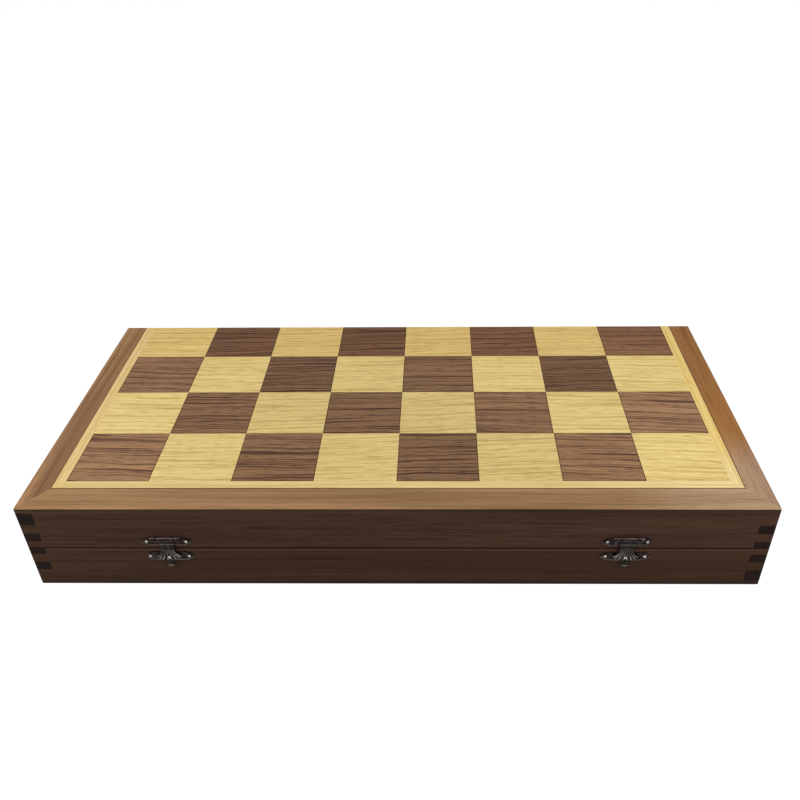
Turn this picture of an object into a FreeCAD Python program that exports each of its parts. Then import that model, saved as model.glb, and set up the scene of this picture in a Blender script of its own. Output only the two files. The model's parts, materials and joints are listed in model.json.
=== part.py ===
"""Folding chess and backgammon case in wood: two identical trays hinged along their backs.

The origin is the middle of the underside, X runs along the case, the latches face -Y and Z points up.
The upper tray is the lower one turned half a turn about Y. Lengths are millimetres.
"""
import FreeCAD, Part
import math
import os
import re
import Sketcher

SIZES = {
    # board on the outside of each tray
    "square_size": 54,
    "rear_row_depth": 50,
    "band_width": 7,
    "side_frame_width": 17,
    "front_frame_width": 21,
    "frame_thickness": 4,
    "veneer_thickness": 0.6,
    # walls of a tray
    "tray_height": 33,
    "wall_thickness": 11,
    "edge_round": 1,
    "rim_ease": 0.5,
    # backgammon board inside each tray
    "floor_thickness": 3,
    "point_tip_gap": 88,
    "point_side_gap": 3,
    "point_tip_width": 0.8,
    # butt hinges let into the back rims
    "hinge_inset": 92,
    "hinge_length": 40,
    "hinge_offset": 0.2,
    "leaf_margin": 2.2,
    "leaf_thickness": 1,
    "knuckle_radius": 1.9,
    "knuckle_gap": 0.3,
    "knuckle_clearance": 0.3,
    "hinge_pin_radius": 0.9,
    "screw_inset": 8,
    "screw_radius": 0.8,
    "screw_head_radius": 1.7,
    "screw_length": 9,
    "screw_sink": 0.1,
    "screw_rim": 0.05,
    "slot_width": 0.5,
    "slot_depth": 0.35,
    # latches on the front
    "latch_inset": 92,
    "latch_width": 32.4,
    "plate_thickness": 0.8,
    "plate_foot": 3.2,
    "plate_height": 6,
    "ear_root": 8.4,
    "ear_rise": 6.2,
    "ear_tip_rise": 3.2,
    "ear_bend": 8.5,
    "nail_spacing": 25.5,
    "nail_rise": 6.3,
    "nail_shank": 1.1,
    "nail_head_radius": 1.5,
    "nail_head_height": 0.9,
    "nail_bevel": 0.6,
    "nail_cover": 3,
    "latch_axis_rise": 9.2,
    "latch_axis_depth": 1.9,
    "latch_knuckle_radius": 1.5,
    "latch_pin_radius": 0.7,
    "flap_knuckle_length": 11,
    "plate_knuckle_length": 4.4,
    "flap_gap": 0.4,
    "flap_thickness": 0.9,
    "flap_length": 23.2,
    "flap_width": 16.6,
    "neck_width": 8.6,
    "tail_width": 4.6,
    "lip_radius": 0.8,
    "flute_top_width": 0.5,
    "flute_foot_width": 1.1,
    "flute_depth": 0.35,
    "knob_radius": 1.2,
    "knob_stem_radius": 0.8,
    "knob_rise": 0.3,
    "knob_height": 1,
    "knob_bevel": 0.6,
    "knob_clearance": 0.4,
    "catch_height": 7.4,
    # fits and cuts
    "running_clearance": 0.05,
    "overrun": 1,
}

COLUMNS = 8
ROWS = 4
POINTS_PER_END = 6
KNUCKLES = 3
# flats round a small turned piece
FASTENER_SIDES = 8

# Heights of the finger joints, from the seam to the frame
FINGER_SHARES = (0, 0.19, 0.43, 0.67, 1)
# Heights up the latch flap from its tail, and widths and bends of its fan
TAIL_TOP_SHARE = 0.12
FAN_FOOT_SHARE = 0.28
FAN_TOP_SHARE = 0.37
NECK_SHARE = 0.66
FAN_FOOT_WIDTH_SHARE = 0.42
TAIL_BEND_SHARE = 0.4
NECK_BEND_SHARE = 0.42
# Flutes of the fan: their places across it, their ends up the flap and their spread over its width
FLUTE_SHARES = (0.36, 0.61, 0.86)
FLUTE_FOOT_SHARES = (0.23, 0.285, 0.34)
FLUTE_TOP_SHARE = 0.63
FLUTE_SPREAD_SHARE = 0.46

DERIVED = {
    "case_length": f"{COLUMNS} * square_size + 2 * (band_width + side_frame_width)",
    "case_depth": f"front_frame_width + band_width + {ROWS - 1} * square_size + rear_row_depth",
    "case_height": "2 * tray_height",
    "half_length": "case_length / 2",
    "half_depth": "case_depth / 2",
    "wall_height": "tray_height - frame_thickness",
    "inner_length": "case_length - 2 * wall_thickness",
    "inner_depth": "case_depth - 2 * wall_thickness",
    "panel_length": "case_length - 2 * side_frame_width",
    "panel_depth": "case_depth - front_frame_width",
    "floor_top": "frame_thickness + floor_thickness",
    "point_pitch": f"inner_depth / {POINTS_PER_END}",
    "point_base": "point_pitch - point_side_gap",
    "point_length": "(inner_length - point_tip_gap) / 2",
    "hinge_place": "half_length - hinge_inset",
    "hinge_axis_back": "half_depth + hinge_offset",
    "leaf_width": "wall_thickness - leaf_margin",
    "leaf_root": "knuckle_radius + knuckle_clearance",
    "knuckle_pitch": f"hinge_length / {KNUCKLES}",
    "screw_head_height": "leaf_thickness - screw_sink",
    "screw_bevel": "screw_head_height - screw_rim",
    "latch_place": "half_length - latch_inset",
    "nail_length": "wall_thickness - nail_cover",
    "flap_back": "plate_thickness + flap_gap",
    "flap_tail": "latch_axis_rise - flap_length",
    "flap_face": "flap_back + flap_thickness",
    "knob_hole_radius": "knob_radius + knob_clearance",
    "latch_knuckle_gap": "knuckle_gap / 2",
}

doc = FreeCAD.newDocument("ChessCase")
sheet = doc.addObject("Spreadsheet::Sheet", "Sizes")
for row, (alias, size) in enumerate(SIZES.items(), start=1):
    sheet.set(f"A{row}", alias)
    sheet.set(f"B{row}", str(size))
    sheet.setAlias(f"B{row}", alias)
doc.recompute()
nodes = []


def formula(text):
    """Write a size in plain names as an expression on the sheet's cells."""

    def cell(match):
        word = match.group()
        if word in DERIVED:
            return f"({formula(DERIVED[word])})"
        return f"Sizes.{word}" if word in SIZES else word

    return re.sub(r"[a-z_]+", cell, text)


def measure(text):
    """Return the present value of a size written in plain names."""
    return float(sheet.evalExpression(formula(text)))


def bind(item, **sizes):
    """Tie an object's properties to sizes written in plain names."""
    for name, text in sizes.items():
        item.setExpression(name, formula(text))
    return item


def place(item, x="0", y="0", z="0", turn=0, axis=(0, 0, 1)):
    """Turn an object about an axis and tie its place to sizes."""
    item.Placement.Rotation = FreeCAD.Rotation(FreeCAD.Vector(*axis), turn)
    for letter, text in zip("xyz", (x, y, z)):
        item.setExpression(f".Placement.Base.{letter}", formula(text))
    return item


def box(name, length, width, height, x="0", y="0", z="0"):
    """Make a box with its low corner at x, y, z."""
    item = doc.addObject("Part::Box", name)
    bind(item, Length=length, Width=width, Height=height)
    return place(item, x, y, z)


def rod(name, radius, length, x="0", y="0", z="0", turn=0, axis=(0, 0, 1)):
    """Make a cylinder from x, y, z along its turned Z axis."""
    item = doc.addObject("Part::Cylinder", name)
    bind(item, Radius=radius, Height=length)
    return place(item, x, y, z, turn, axis)


def flats(name, radius, length, x="0", y="0", z="0", turn=0, axis=(0, 0, 1)):
    """Make a small rod with flats from x, y, z along its turned Z axis."""
    item = doc.addObject("Part::Prism", name)
    item.Polygon = FASTENER_SIDES
    bind(item, Circumradius=radius, Height=length)
    return place(item, x, y, z, turn, axis)


def bevelled(name, blank, level, bevel):
    """Bevel the edges round one end of a small rod, and take over its place."""
    doc.recompute()
    end = blank.Shape.copy()
    end.Placement = FreeCAD.Placement()
    edges = [number for number, edge in enumerate(end.Edges, start=1) if near(edge.CenterOfMass.z, level)]
    item = doc.addObject("Part::Chamfer", name)
    item.Base = blank
    item.Edges = [(number, measure(bevel), measure(bevel)) for number in edges]
    return item


def cut(name, base, tools):
    """Take tools away from base."""
    item = doc.addObject("Part::Cut", name)
    item.Base = base
    item.Tool = tools[0] if len(tools) == 1 else fuse(f"{name}_tools", tools)
    return item


def fuse(name, pieces):
    """Join pieces into one solid."""
    item = doc.addObject("Part::MultiFuse", name)
    item.Shapes = pieces
    return item


def common(name, base, tool):
    """Keep what base and tool share."""
    item = doc.addObject("Part::Common", name)
    item.Base = base
    item.Tool = tool
    return item


def group(name, pieces):
    """Keep pieces together as separate solids."""
    item = doc.addObject("Part::Compound", name)
    item.Links = pieces
    return item


def node(item, label, half="lower"):
    """Name a finished piece, and turn it over where it belongs to the upper tray."""
    item.Label = label
    if half == "upper":
        place(item, z="case_height", turn=180, axis=(0, 1, 0))
    nodes.append(item)
    return item


def sketch_on(body, name, plane, lift=None):
    """Start a sketch on one of a body's origin planes, lifted along its normal."""
    sketch = body.newObject("Sketcher::SketchObject", name)
    origin_plane = next(item for item in body.Origin.OriginFeatures if item.Role == plane)
    sketch.AttachmentSupport = [(origin_plane, "")]
    sketch.MapMode = "FlatFace"
    if lift:
        sketch.setExpression(".AttachmentOffset.Base.z", formula(lift))
    return sketch


def pin_point(sketch, geometry, end, x, y):
    """Tie one end of a line or arc to a place written in sizes."""
    for kind, axis, text in (("DistanceX", -2, x), ("DistanceY", -1, y)):
        if text == "0":
            sketch.addConstraint(Sketcher.Constraint("PointOnObject", geometry, end, axis))
        else:
            length = measure(text)
            index = sketch.addConstraint(Sketcher.Constraint(kind, -1, 1, geometry, end, length))
            sketch.setExpression(f"Constraints[{index}]", formula(text))


def arc_between(start, finish, radius, clockwise):
    """Return the lesser arc from start to finish."""
    chord = finish - start
    side = FreeCAD.Vector(chord.y, -chord.x, 0) if clockwise else FreeCAD.Vector(-chord.y, chord.x, 0)
    height = math.sqrt(max(radius ** 2 - (chord.Length / 2) ** 2, 0))
    centre = start + chord / 2 + side.normalize() * height
    circle = Part.Circle(centre, FreeCAD.Vector(0, 0, 1), radius)
    first, last = (finish, start) if clockwise else (start, finish)
    angles = [math.atan2(point.y - centre.y, point.x - centre.x) for point in (first, last)]
    return Part.ArcOfCircle(circle, *angles)


def outline(sketch, corners):
    """Draw a closed outline through corners (x, y) or, before an arc, (x, y, radius, clockwise)."""
    points = [FreeCAD.Vector(measure(corner[0]), measure(corner[1]), 0) for corner in corners]
    ends = []
    for number, corner in enumerate(corners):
        start = points[number]
        finish = points[(number + 1) % len(points)]
        if len(corner) == 2:
            index = sketch.addGeometry(Part.LineSegment(start, finish))
            ends.append((index, 1, 2))
            continue
        radius, clockwise = corner[2:]
        index = sketch.addGeometry(arc_between(start, finish, measure(radius), clockwise))
        ends.append((index, 2, 1) if clockwise else (index, 1, 2))
        limit = sketch.addConstraint(Sketcher.Constraint("Radius", index, measure(radius)))
        sketch.setExpression(f"Constraints[{limit}]", formula(radius))
    for number, (index, start, finish) in enumerate(ends):
        before, _, last = ends[number - 1]
        sketch.addConstraint(Sketcher.Constraint("Coincident", before, last, index, start))
        pin_point(sketch, index, start, *corners[number][:2])


def ring(sketch, radius, x, y):
    """Draw a circle in a sketch."""
    centre = FreeCAD.Vector(measure(x), measure(y), 0)
    index = sketch.addGeometry(Part.Circle(centre, FreeCAD.Vector(0, 0, 1), measure(radius)))
    limit = sketch.addConstraint(Sketcher.Constraint("Radius", index, measure(radius)))
    sketch.setExpression(f"Constraints[{limit}]", formula(radius))
    pin_point(sketch, index, 3, x, y)


def nail_hole(sketch, x, y):
    """Draw the square hole for a nail's shank."""
    half = "(nail_shank / 2 + running_clearance)"
    outline(sketch, [
        (f"{x} - {half}", f"{y} - {half}"), (f"{x} + {half}", f"{y} - {half}"),
        (f"{x} + {half}", f"{y} + {half}"), (f"{x} - {half}", f"{y} + {half}"),
    ])


def pad(body, sketch, length, reverse=False, both_ways=False):
    """Raise a sketch by a length."""
    feature = body.newObject("PartDesign::Pad", f"{sketch.Name}_pad")
    feature.Profile = sketch
    feature.Reversed = reverse
    feature.Midplane = both_ways
    return bind(feature, Length=length)


def pocket(body, sketch, depth=None, reverse=False):
    """Sink a sketch by a depth, or right through both ways."""
    feature = body.newObject("PartDesign::Pocket", f"{sketch.Name}_pocket")
    feature.Profile = sketch
    feature.Reversed = reverse
    if depth:
        return bind(feature, Length=depth)
    feature.Type = "ThroughAll"
    feature.Midplane = True
    return feature


def mirror(body, feature):
    """Repeat a feature on the other side of the body's YZ plane."""
    copy = body.newObject("PartDesign::Mirrored", f"{feature.Name}_mirrored")
    plane = next(item for item in body.Origin.OriginFeatures if item.Role == "YZ_Plane")
    copy.Originals = [feature]
    copy.MirrorPlane = (plane, [""])
    body.Tip = copy
    return copy


def new_body(name):
    """Start a body."""
    return doc.addObject("PartDesign::Body", name)


def edges_where(shape, test):
    """Name the edges whose middles pass a test."""
    return [f"Edge{number}" for number, edge in enumerate(shape.Edges, start=1) if test(edge.CenterOfMass)]


def near(value, text):
    """Tell whether a length equals a size."""
    return math.isclose(value, measure(text), rel_tol=1e-9, abs_tol=1e-6)


def tray_envelope():
    """The outer skin of a tray: corners and outer edges rounded, rim eased."""
    body = new_body("tray_envelope")
    plan = sketch_on(body, "envelope_plan", "XY_Plane")
    outline(plan, rectangle("half_length", "-half_depth", "half_depth"))
    block = pad(body, plan, "tray_height")
    doc.recompute()

    upright = edges_where(block.Shape, lambda middle: (
        near(abs(middle.x), "half_length") and near(abs(middle.y), "half_depth")))
    low = edges_where(block.Shape, lambda middle: near(middle.z, "0") and not near(middle.y, "half_depth"))
    rounds = body.newObject("PartDesign::Fillet", "envelope_rounds")
    rounds.Base = (block, upright + low)
    bind(rounds, Radius="edge_round")
    doc.recompute()
    rim = edges_where(rounds.Shape, lambda middle: near(middle.z, "tray_height"))
    ease = body.newObject("PartDesign::Chamfer", "envelope_ease")
    ease.Base = (rounds, rim)
    bind(ease, Size="rim_ease")
    return body


def finger_level(number):
    """Height of a finger's edge, counted from the seam."""
    return f"tray_height - wall_height * {FINGER_SHARES[number]}"


def finger_end(sign, first_is_socket):
    """Corners of one finger jointed end of a wall, from the seam down."""
    corners = []
    for number in range(len(FINGER_SHARES) - 1):
        is_socket = (number % 2 == 0) == first_is_socket
        reach = "wall_span / 2 - wall_thickness" if is_socket else "wall_span / 2"
        for level in (number, number + 1):
            corners.append((f"{sign} ({reach})", finger_level(level)))
    return corners


def wall_body(name, span):
    """A wall in its own frame: X along it as seen from outside, Y inwards."""
    body = new_body(name)
    face = sketch_on(body, f"{name}_face", "XZ_Plane")
    left = finger_end("-1 *", True)
    right = finger_end("1 *", False)
    corners = [(x.replace("wall_span", span), z) for x, z in left + right[::-1]]
    outline(face, corners)
    pad(body, face, "wall_thickness", reverse=True)
    return body


def nail_places():
    """Places of the latch nails along the front, as seen from outside."""
    for side in ("-1 *", "1 *"):
        for ear in ("-", "+"):
            yield f"{side} latch_place {ear} nail_spacing / 2"


def front_wall(name):
    """Front wall with the holes for the latch nails."""
    body = wall_body(name, "case_length")
    holes = sketch_on(body, f"{name}_holes", "XZ_Plane")
    for x in nail_places():
        nail_hole(holes, x, "tray_height - nail_rise")
    pocket(body, holes, "nail_length + running_clearance")
    return place(body, y="-half_depth")


def hinge_sides():
    """The two hinges' places along the back."""
    return (("left", "-1 * hinge_place"), ("right", "1 * hinge_place"))


def screw_places(centre):
    """Places of a leaf's two screws along the hinge."""
    return (f"{centre} - hinge_length / 2 + screw_inset", f"{centre} + hinge_length / 2 - screw_inset")


def screw_line():
    """Distance of the screws from the middle of the case."""
    return "hinge_axis_back - (leaf_root + leaf_width) / 2"


def hinge_cuts(name):
    """What a back wall loses to its two hinges: mortises, knuckle recesses and screw holes."""
    tools = []
    for side, centre in hinge_sides():
        start = f"{centre} - hinge_length / 2 - running_clearance"
        span = "hinge_length + 2 * running_clearance"
        tools.append(box(
            f"{name}_{side}_mortise", span,
            "leaf_width + running_clearance + overrun", "leaf_thickness + overrun",
            start, "hinge_axis_back - leaf_width - running_clearance", "tray_height - leaf_thickness"))
        tools.append(rod(
            f"{name}_{side}_recess", "knuckle_radius + knuckle_clearance", span,
            start, "hinge_axis_back", "tray_height", 90, (0, 1, 0)))
        for number, x in enumerate(screw_places(centre)):
            tools.append(flats(
                f"{name}_{side}_screw_hole{number}", "screw_radius + running_clearance",
                "screw_length + running_clearance", x, screw_line(),
                "tray_height - screw_sink - screw_length - running_clearance"))
    return tools


def tray_walls(half, envelope):
    """Four finger jointed walls of a tray."""
    front = front_wall(f"{half}_front_wall_blank")
    node(common(f"{half}_front", front, envelope), f"{half}_front_wall", half)
    back = place(wall_body(f"{half}_back_wall_blank", "case_length"), y="half_depth", turn=180)
    eased = common(f"{half}_back_eased", back, envelope)
    node(cut(f"{half}_back", eased, hinge_cuts(f"{half}_back")), f"{half}_back_wall", half)
    for local, x, turn in (("left", "-half_length", 270), ("right", "half_length", 90)):
        side = world_side(local, half)
        blank = place(wall_body(f"{half}_{side}_wall_blank", "case_depth"), x=x, turn=turn)
        node(common(f"{half}_{side}", blank, envelope), f"{half}_{side}_wall", half)


def world_side(local, half):
    """A tray's own left is the right of the case once the tray is turned over."""
    if half == "lower":
        return local
    return "right" if local == "left" else "left"


def sheet_piece(name, corners, thickness, lift=None):
    """A flat strip or panel, lifted from the outside of the tray."""
    body = new_body(name)
    plan = sketch_on(body, f"{name}_plan", "XY_Plane", lift)
    outline(plan, corners)
    pad(body, plan, thickness)
    return body


def rectangle(half_width, front, back):
    """Corners of a rectangle that is even about the middle of the case."""
    return [
        (f"-({half_width})", front), (half_width, front),
        (half_width, back), (f"-({half_width})", back),
    ]


def mitred_corners(outer_side, outer_front, inner_side, inner_front):
    """Plans of a front strip and of its two side strips, mitred where they meet."""
    front = [
        (f"-({outer_side})", outer_front), (outer_side, outer_front),
        (inner_side, inner_front), (f"-({inner_side})", inner_front),
    ]
    left = [
        (f"-({outer_side})", outer_front), (f"-({inner_side})", inner_front),
        (f"-({inner_side})", "half_depth"), (f"-({outer_side})", "half_depth"),
    ]
    right = [
        (outer_side, outer_front), (outer_side, "half_depth"),
        (inner_side, "half_depth"), (inner_side, inner_front),
    ]
    return {"front": front, "left": left, "right": right}


def tray_frame(half, envelope):
    """Walnut frame round three sides of the board."""
    plans = mitred_corners(
        "half_length", "-half_depth",
        "half_length - side_frame_width", "front_frame_width - half_depth")
    for local, corners in plans.items():
        side = local if local == "front" else world_side(local, half)
        blank = sheet_piece(f"{half}_{side}_frame_blank", corners, "frame_thickness")
        node(common(f"{half}_{side}_frame_rounded", blank, envelope), f"{half}_{side}_frame", half)


def tray_bands(half):
    """Light stringing inside the frame."""
    plans = mitred_corners(
        "half_length - side_frame_width", "front_frame_width - half_depth",
        "half_length - side_frame_width - band_width", "front_frame_width + band_width - half_depth")
    for local, corners in plans.items():
        side = local if local == "front" else world_side(local, half)
        strip = sheet_piece(f"{half}_{side}_stringing", corners, "veneer_thickness")
        node(strip, f"{half}_{side}_band", half)


def chess_squares(half):
    """Veneer squares, dark at the front left seen from outside, cut short at the hinge edge."""
    shades = {"dark": [], "light": []}
    for row in range(ROWS):
        depth = "rear_row_depth" if row == ROWS - 1 else "square_size"
        for column in range(COLUMNS):
            # the outer face is seen from below, where the case's right is on the left
            shade = "light" if (row + column) % 2 == 0 else "dark"
            shades[shade].append(box(
                f"{half}_square_{row}_{column}", "square_size", depth, "veneer_thickness",
                f"square_size * {column - COLUMNS // 2}",
                f"front_frame_width + band_width + square_size * {row} - half_depth"))
    for shade, squares in shades.items():
        node(group(f"{half}_{shade}", squares), f"{half}_{shade}_squares", half)


def tray_panels(half):
    """Plywood behind the chess veneers, and the floor of the tray on it."""
    board = sheet_piece(
        f"{half}_board", rectangle("panel_length / 2", "half_depth - panel_depth", "half_depth"),
        "frame_thickness - veneer_thickness", "veneer_thickness")
    node(board, f"{half}_chess_panel", half)
    floor = sheet_piece(
        f"{half}_floor", rectangle("inner_length / 2", "-inner_depth / 2", "inner_depth / 2"),
        "floor_thickness", "frame_thickness")
    node(floor, f"{half}_floor_panel", half)


def backgammon_point(name, end, number):
    """One tapered point lying on the floor, its base at an end wall."""
    item = doc.addObject("Part::Wedge", name)
    bind(
        item, Xmin="-point_base / 2", Xmax="point_base / 2",
        X2min="-point_tip_width / 2", X2max="point_tip_width / 2",
        Ymin="0", Ymax="point_length", Zmin="0", Z2min="0", Zmax="veneer_thickness", Z2max="veneer_thickness")
    across = f"point_pitch * {number - (POINTS_PER_END - 1) / 2}"
    if end == "left":
        return place(item, "-inner_length / 2", across, "floor_top", -90)
    return place(item, "inner_length / 2", across, "floor_top", 90)


def backgammon_board(half):
    """Veneered field with two shades of points let into it."""
    shades = {"dark": [], "red": []}
    for end, first in (("left", 0), ("right", 1)):
        for number in range(POINTS_PER_END):
            shade = "dark" if (number + first) % 2 == 0 else "red"
            shades[shade].append(backgammon_point(f"{half}_{end}_point{number}", end, number))
    field = box(
        f"{half}_field_blank", "inner_length", "inner_depth", "veneer_thickness",
        "-inner_length / 2", "-inner_depth / 2", "floor_top")
    tools = shades["dark"] + shades["red"]
    node(cut(f"{half}_field", field, tools), f"{half}_backgammon_field", half)
    for shade, points in shades.items():
        node(group(f"{half}_{shade}_point_group", points), f"{half}_{shade}_points", half)


def hinge_leaf(half, local, centre, owned):
    """A butt hinge leaf with its share of the knuckles, bored for the pin and the screws."""
    name = f"{half}_{local}_leaf"
    bottom = "tray_height - leaf_thickness"
    pieces = [box(
        f"{name}_plate", "hinge_length", "leaf_width - leaf_root", "leaf_thickness",
        f"{centre} - hinge_length / 2", "hinge_axis_back - leaf_width", bottom)]
    for number in owned:
        start = f"{centre} - hinge_length / 2 + knuckle_pitch * {number} + knuckle_gap / 2"
        span = "knuckle_pitch - knuckle_gap"
        pieces.append(box(
            f"{name}_neck{number}", span, "leaf_root", "leaf_thickness",
            start, "hinge_axis_back - leaf_root", bottom))
        pieces.append(rod(
            f"{name}_knuckle{number}", "knuckle_radius", span,
            start, "hinge_axis_back", "tray_height", 90, (0, 1, 0)))
    tools = [rod(
        f"{name}_bore", "hinge_pin_radius + running_clearance", "hinge_length + 2 * overrun",
        f"{centre} - hinge_length / 2 - overrun", "hinge_axis_back", "tray_height", 90, (0, 1, 0))]
    for number, x in enumerate(screw_places(centre)):
        sink = flats(
            f"{name}_sink{number}_blank", "screw_head_radius + running_clearance", "leaf_thickness",
            x, screw_line(), bottom)
        tools.append(bevelled(f"{name}_sink{number}", sink, "0", "screw_bevel"))
    leaf = cut(name, fuse(f"{name}_blank", pieces), tools)
    node(leaf, f"{world_side(local, half)}_hinge_{half}_leaf", half)


def hinge_screw(name, x):
    """A slotted countersunk screw, its head just below the face of the leaf."""
    stud = flats(
        f"{name}_stud", "screw_head_radius", "screw_head_height",
        x, screw_line(), "tray_height - leaf_thickness")
    head = bevelled(f"{name}_head", stud, "0", "screw_bevel")
    shank = flats(
        f"{name}_shank", "screw_radius", "screw_length - screw_head_height",
        x, screw_line(), "tray_height - screw_sink - screw_length")
    slot = box(
        f"{name}_slot", "2 * (screw_head_radius + overrun)", "slot_width", "slot_depth + overrun",
        f"{x} - screw_head_radius - overrun", f"{screw_line()} - slot_width / 2",
        "tray_height - screw_sink - slot_depth")
    return cut(name, fuse(f"{name}_blank", [head, shank]), [slot])


def hinges():
    """Two butt hinges: a leaf in each rim, the pin and the screws."""
    for half, owned in (("lower", range(0, KNUCKLES, 2)), ("upper", range(1, KNUCKLES, 2))):
        screws = []
        for local, centre in hinge_sides():
            hinge_leaf(half, local, centre, owned)
            for number, x in enumerate(screw_places(centre)):
                screws.append(hinge_screw(f"{half}_{local}_screw{number}", x))
        node(group(f"{half}_screws", screws), f"{half}_hinge_screws", half)
    for side, centre in hinge_sides():
        pin = rod(
            f"{side}_pin", "hinge_pin_radius", "hinge_length",
            f"{centre} - hinge_length / 2", "hinge_axis_back", "tray_height", 90, (0, 1, 0))
        node(pin, f"{side}_hinge_pin")


def latch_sides():
    """The two latches' places along the front."""
    return (("left", "-1 * latch_place"), ("right", "1 * latch_place"))


def seat_latch(body, x):
    """Set a latch piece on the front of the case, its origin on the seam."""
    return place(body, x=x, y="-half_depth", z="tray_height")


def hinge_plate(side, x):
    """Latch plate on the upper tray: pointed ears for the nails and two knuckles."""
    name = f"{side}_plate"
    body = new_body(name)
    face = sketch_on(body, f"{name}_face", "XZ_Plane")
    window = "flap_knuckle_length / 2 + latch_knuckle_gap"
    outer = f"{window} + plate_knuckle_length"
    window_foot = "latch_axis_rise - latch_knuckle_radius - knuckle_clearance"
    outline(face, [
        ("0", "plate_foot"),
        ("ear_root", "plate_foot", "ear_bend", False),
        ("latch_width / 2", "plate_foot + ear_tip_rise", "ear_bend", False),
        (outer, "plate_foot + ear_rise"),
        (outer, "plate_foot + plate_height"),
        (window, "plate_foot + plate_height"),
        (window, window_foot),
        ("0", window_foot),
    ])
    mirror(body, pad(body, face, "plate_thickness"))
    roll = sketch_on(body, f"{name}_roll", "YZ_Plane", window)
    ring(roll, "latch_knuckle_radius", "-latch_axis_depth", "latch_axis_rise")
    mirror(body, pad(body, roll, "plate_knuckle_length"))
    bore = sketch_on(body, f"{name}_bore", "YZ_Plane")
    ring(bore, "latch_pin_radius + running_clearance", "-latch_axis_depth", "latch_axis_rise")
    pocket(body, bore)
    holes = sketch_on(body, f"{name}_holes", "XZ_Plane")
    for ear in ("-", ""):
        nail_hole(holes, f"{ear} nail_spacing / 2", "nail_rise")
    pocket(body, holes)
    node(seat_latch(body, x), f"{side}_latch_plate")


def catch_plate(side, x):
    """Latch plate on the lower tray, with the knob that the flap closes over."""
    name = f"{side}_catch"
    body = new_body(name)
    face = sketch_on(body, f"{name}_face", "XZ_Plane")
    outline(face, [
        ("0", "-plate_foot"),
        ("0", "-plate_foot - catch_height"),
        ("ear_root", "-plate_foot - ear_rise", "ear_bend", False),
        ("latch_width / 2", "-plate_foot - ear_tip_rise", "ear_bend", False),
        ("ear_root", "-plate_foot"),
    ])
    mirror(body, pad(body, face, "plate_thickness"))
    holes = sketch_on(body, f"{name}_holes", "XZ_Plane")
    for ear in ("-", ""):
        nail_hole(holes, f"{ear} nail_spacing / 2", "-nail_rise")
    pocket(body, holes)
    stem = flats(
        f"{name}_stem", "knob_stem_radius", "flap_face + knob_rise",
        x, "-half_depth", "tray_height - nail_rise", 90, (1, 0, 0))
    stud = flats(
        f"{name}_stud", "knob_radius", "knob_height",
        x, "-half_depth - flap_face - knob_rise", "tray_height - nail_rise", 90, (1, 0, 0))
    knob = bevelled(f"{name}_knob", stud, "knob_height", "knob_bevel")
    node(fuse(f"{name}_with_knob", [seat_latch(body, x), stem, knob]), f"{side}_catch_plate")


def up_flap(share):
    """Height of a place on the flap."""
    return f"flap_tail + flap_length * {share}"


def flap_flutes(body, name):
    """Sink the flutes that spread over the fan, each along the bend of its edge."""
    grooves = sketch_on(body, f"{name}_flutes", "XZ_Plane", "flap_face")
    top = up_flap(FLUTE_TOP_SHARE)
    outline(grooves, [
        ("0", top), ("flute_top_width / 2", top),
        ("flute_foot_width / 2", "knob_hole_radius + flute_foot_width / 2 - nail_rise"),
        ("0", "knob_hole_radius + flute_foot_width / 2 - nail_rise"),
    ])
    for share, foot_share in zip(FLUTE_SHARES, FLUTE_FOOT_SHARES):
        start = f"neck_width / 2 * {share}"
        finish = f"flap_width * {FLUTE_SPREAD_SHARE} * {share}"
        foot = up_flap(foot_share)
        bend = f"flap_width * {NECK_BEND_SHARE} / {share}"
        outline(grooves, [
            (f"{start} - flute_top_width / 2", top),
            (f"{start} + flute_top_width / 2", top, bend, False),
            (f"{finish} + flute_foot_width / 2", foot),
            (f"{finish} - flute_foot_width / 2", foot, bend, True),
        ])
    mirror(body, pocket(body, grooves, "flute_depth"))


def latch_flap(side, x):
    """Hinged flap: knuckle, neck, fluted fan, tail with its curled lip, and the hole for the knob."""
    name = f"{side}_flap"
    body = new_body(name)
    face = sketch_on(body, f"{name}_face", "XZ_Plane", "flap_back")
    outline(face, [
        ("0", "latch_axis_rise"),
        ("0", "flap_tail"),
        ("tail_width / 2", "flap_tail"),
        ("tail_width / 2", up_flap(TAIL_TOP_SHARE), f"flap_width * {TAIL_BEND_SHARE}", True),
        (f"flap_width * {FAN_FOOT_WIDTH_SHARE}", up_flap(FAN_FOOT_SHARE)),
        ("flap_width / 2", up_flap(FAN_TOP_SHARE), f"flap_width * {NECK_BEND_SHARE}", True),
        ("neck_width / 2", up_flap(NECK_SHARE)),
        ("flap_knuckle_length / 2", "latch_axis_rise"),
    ])
    mirror(body, pad(body, face, "flap_thickness"))
    flap_flutes(body, name)
    roll = sketch_on(body, f"{name}_roll", "YZ_Plane")
    ring(roll, "latch_knuckle_radius", "-latch_axis_depth", "latch_axis_rise")
    pad(body, roll, "flap_knuckle_length", both_ways=True)
    lip = sketch_on(body, f"{name}_lip", "YZ_Plane")
    ring(lip, "lip_radius", "-flap_face", "flap_tail + lip_radius")
    pad(body, lip, "tail_width", both_ways=True)
    bore = sketch_on(body, f"{name}_bore", "YZ_Plane")
    ring(bore, "latch_pin_radius + running_clearance", "-latch_axis_depth", "latch_axis_rise")
    pocket(body, bore)
    hole = sketch_on(body, f"{name}_hole", "XZ_Plane")
    ring(hole, "knob_hole_radius", "0", "-nail_rise")
    pocket(body, hole)
    node(seat_latch(body, x), f"{side}_latch_flap")


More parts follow.
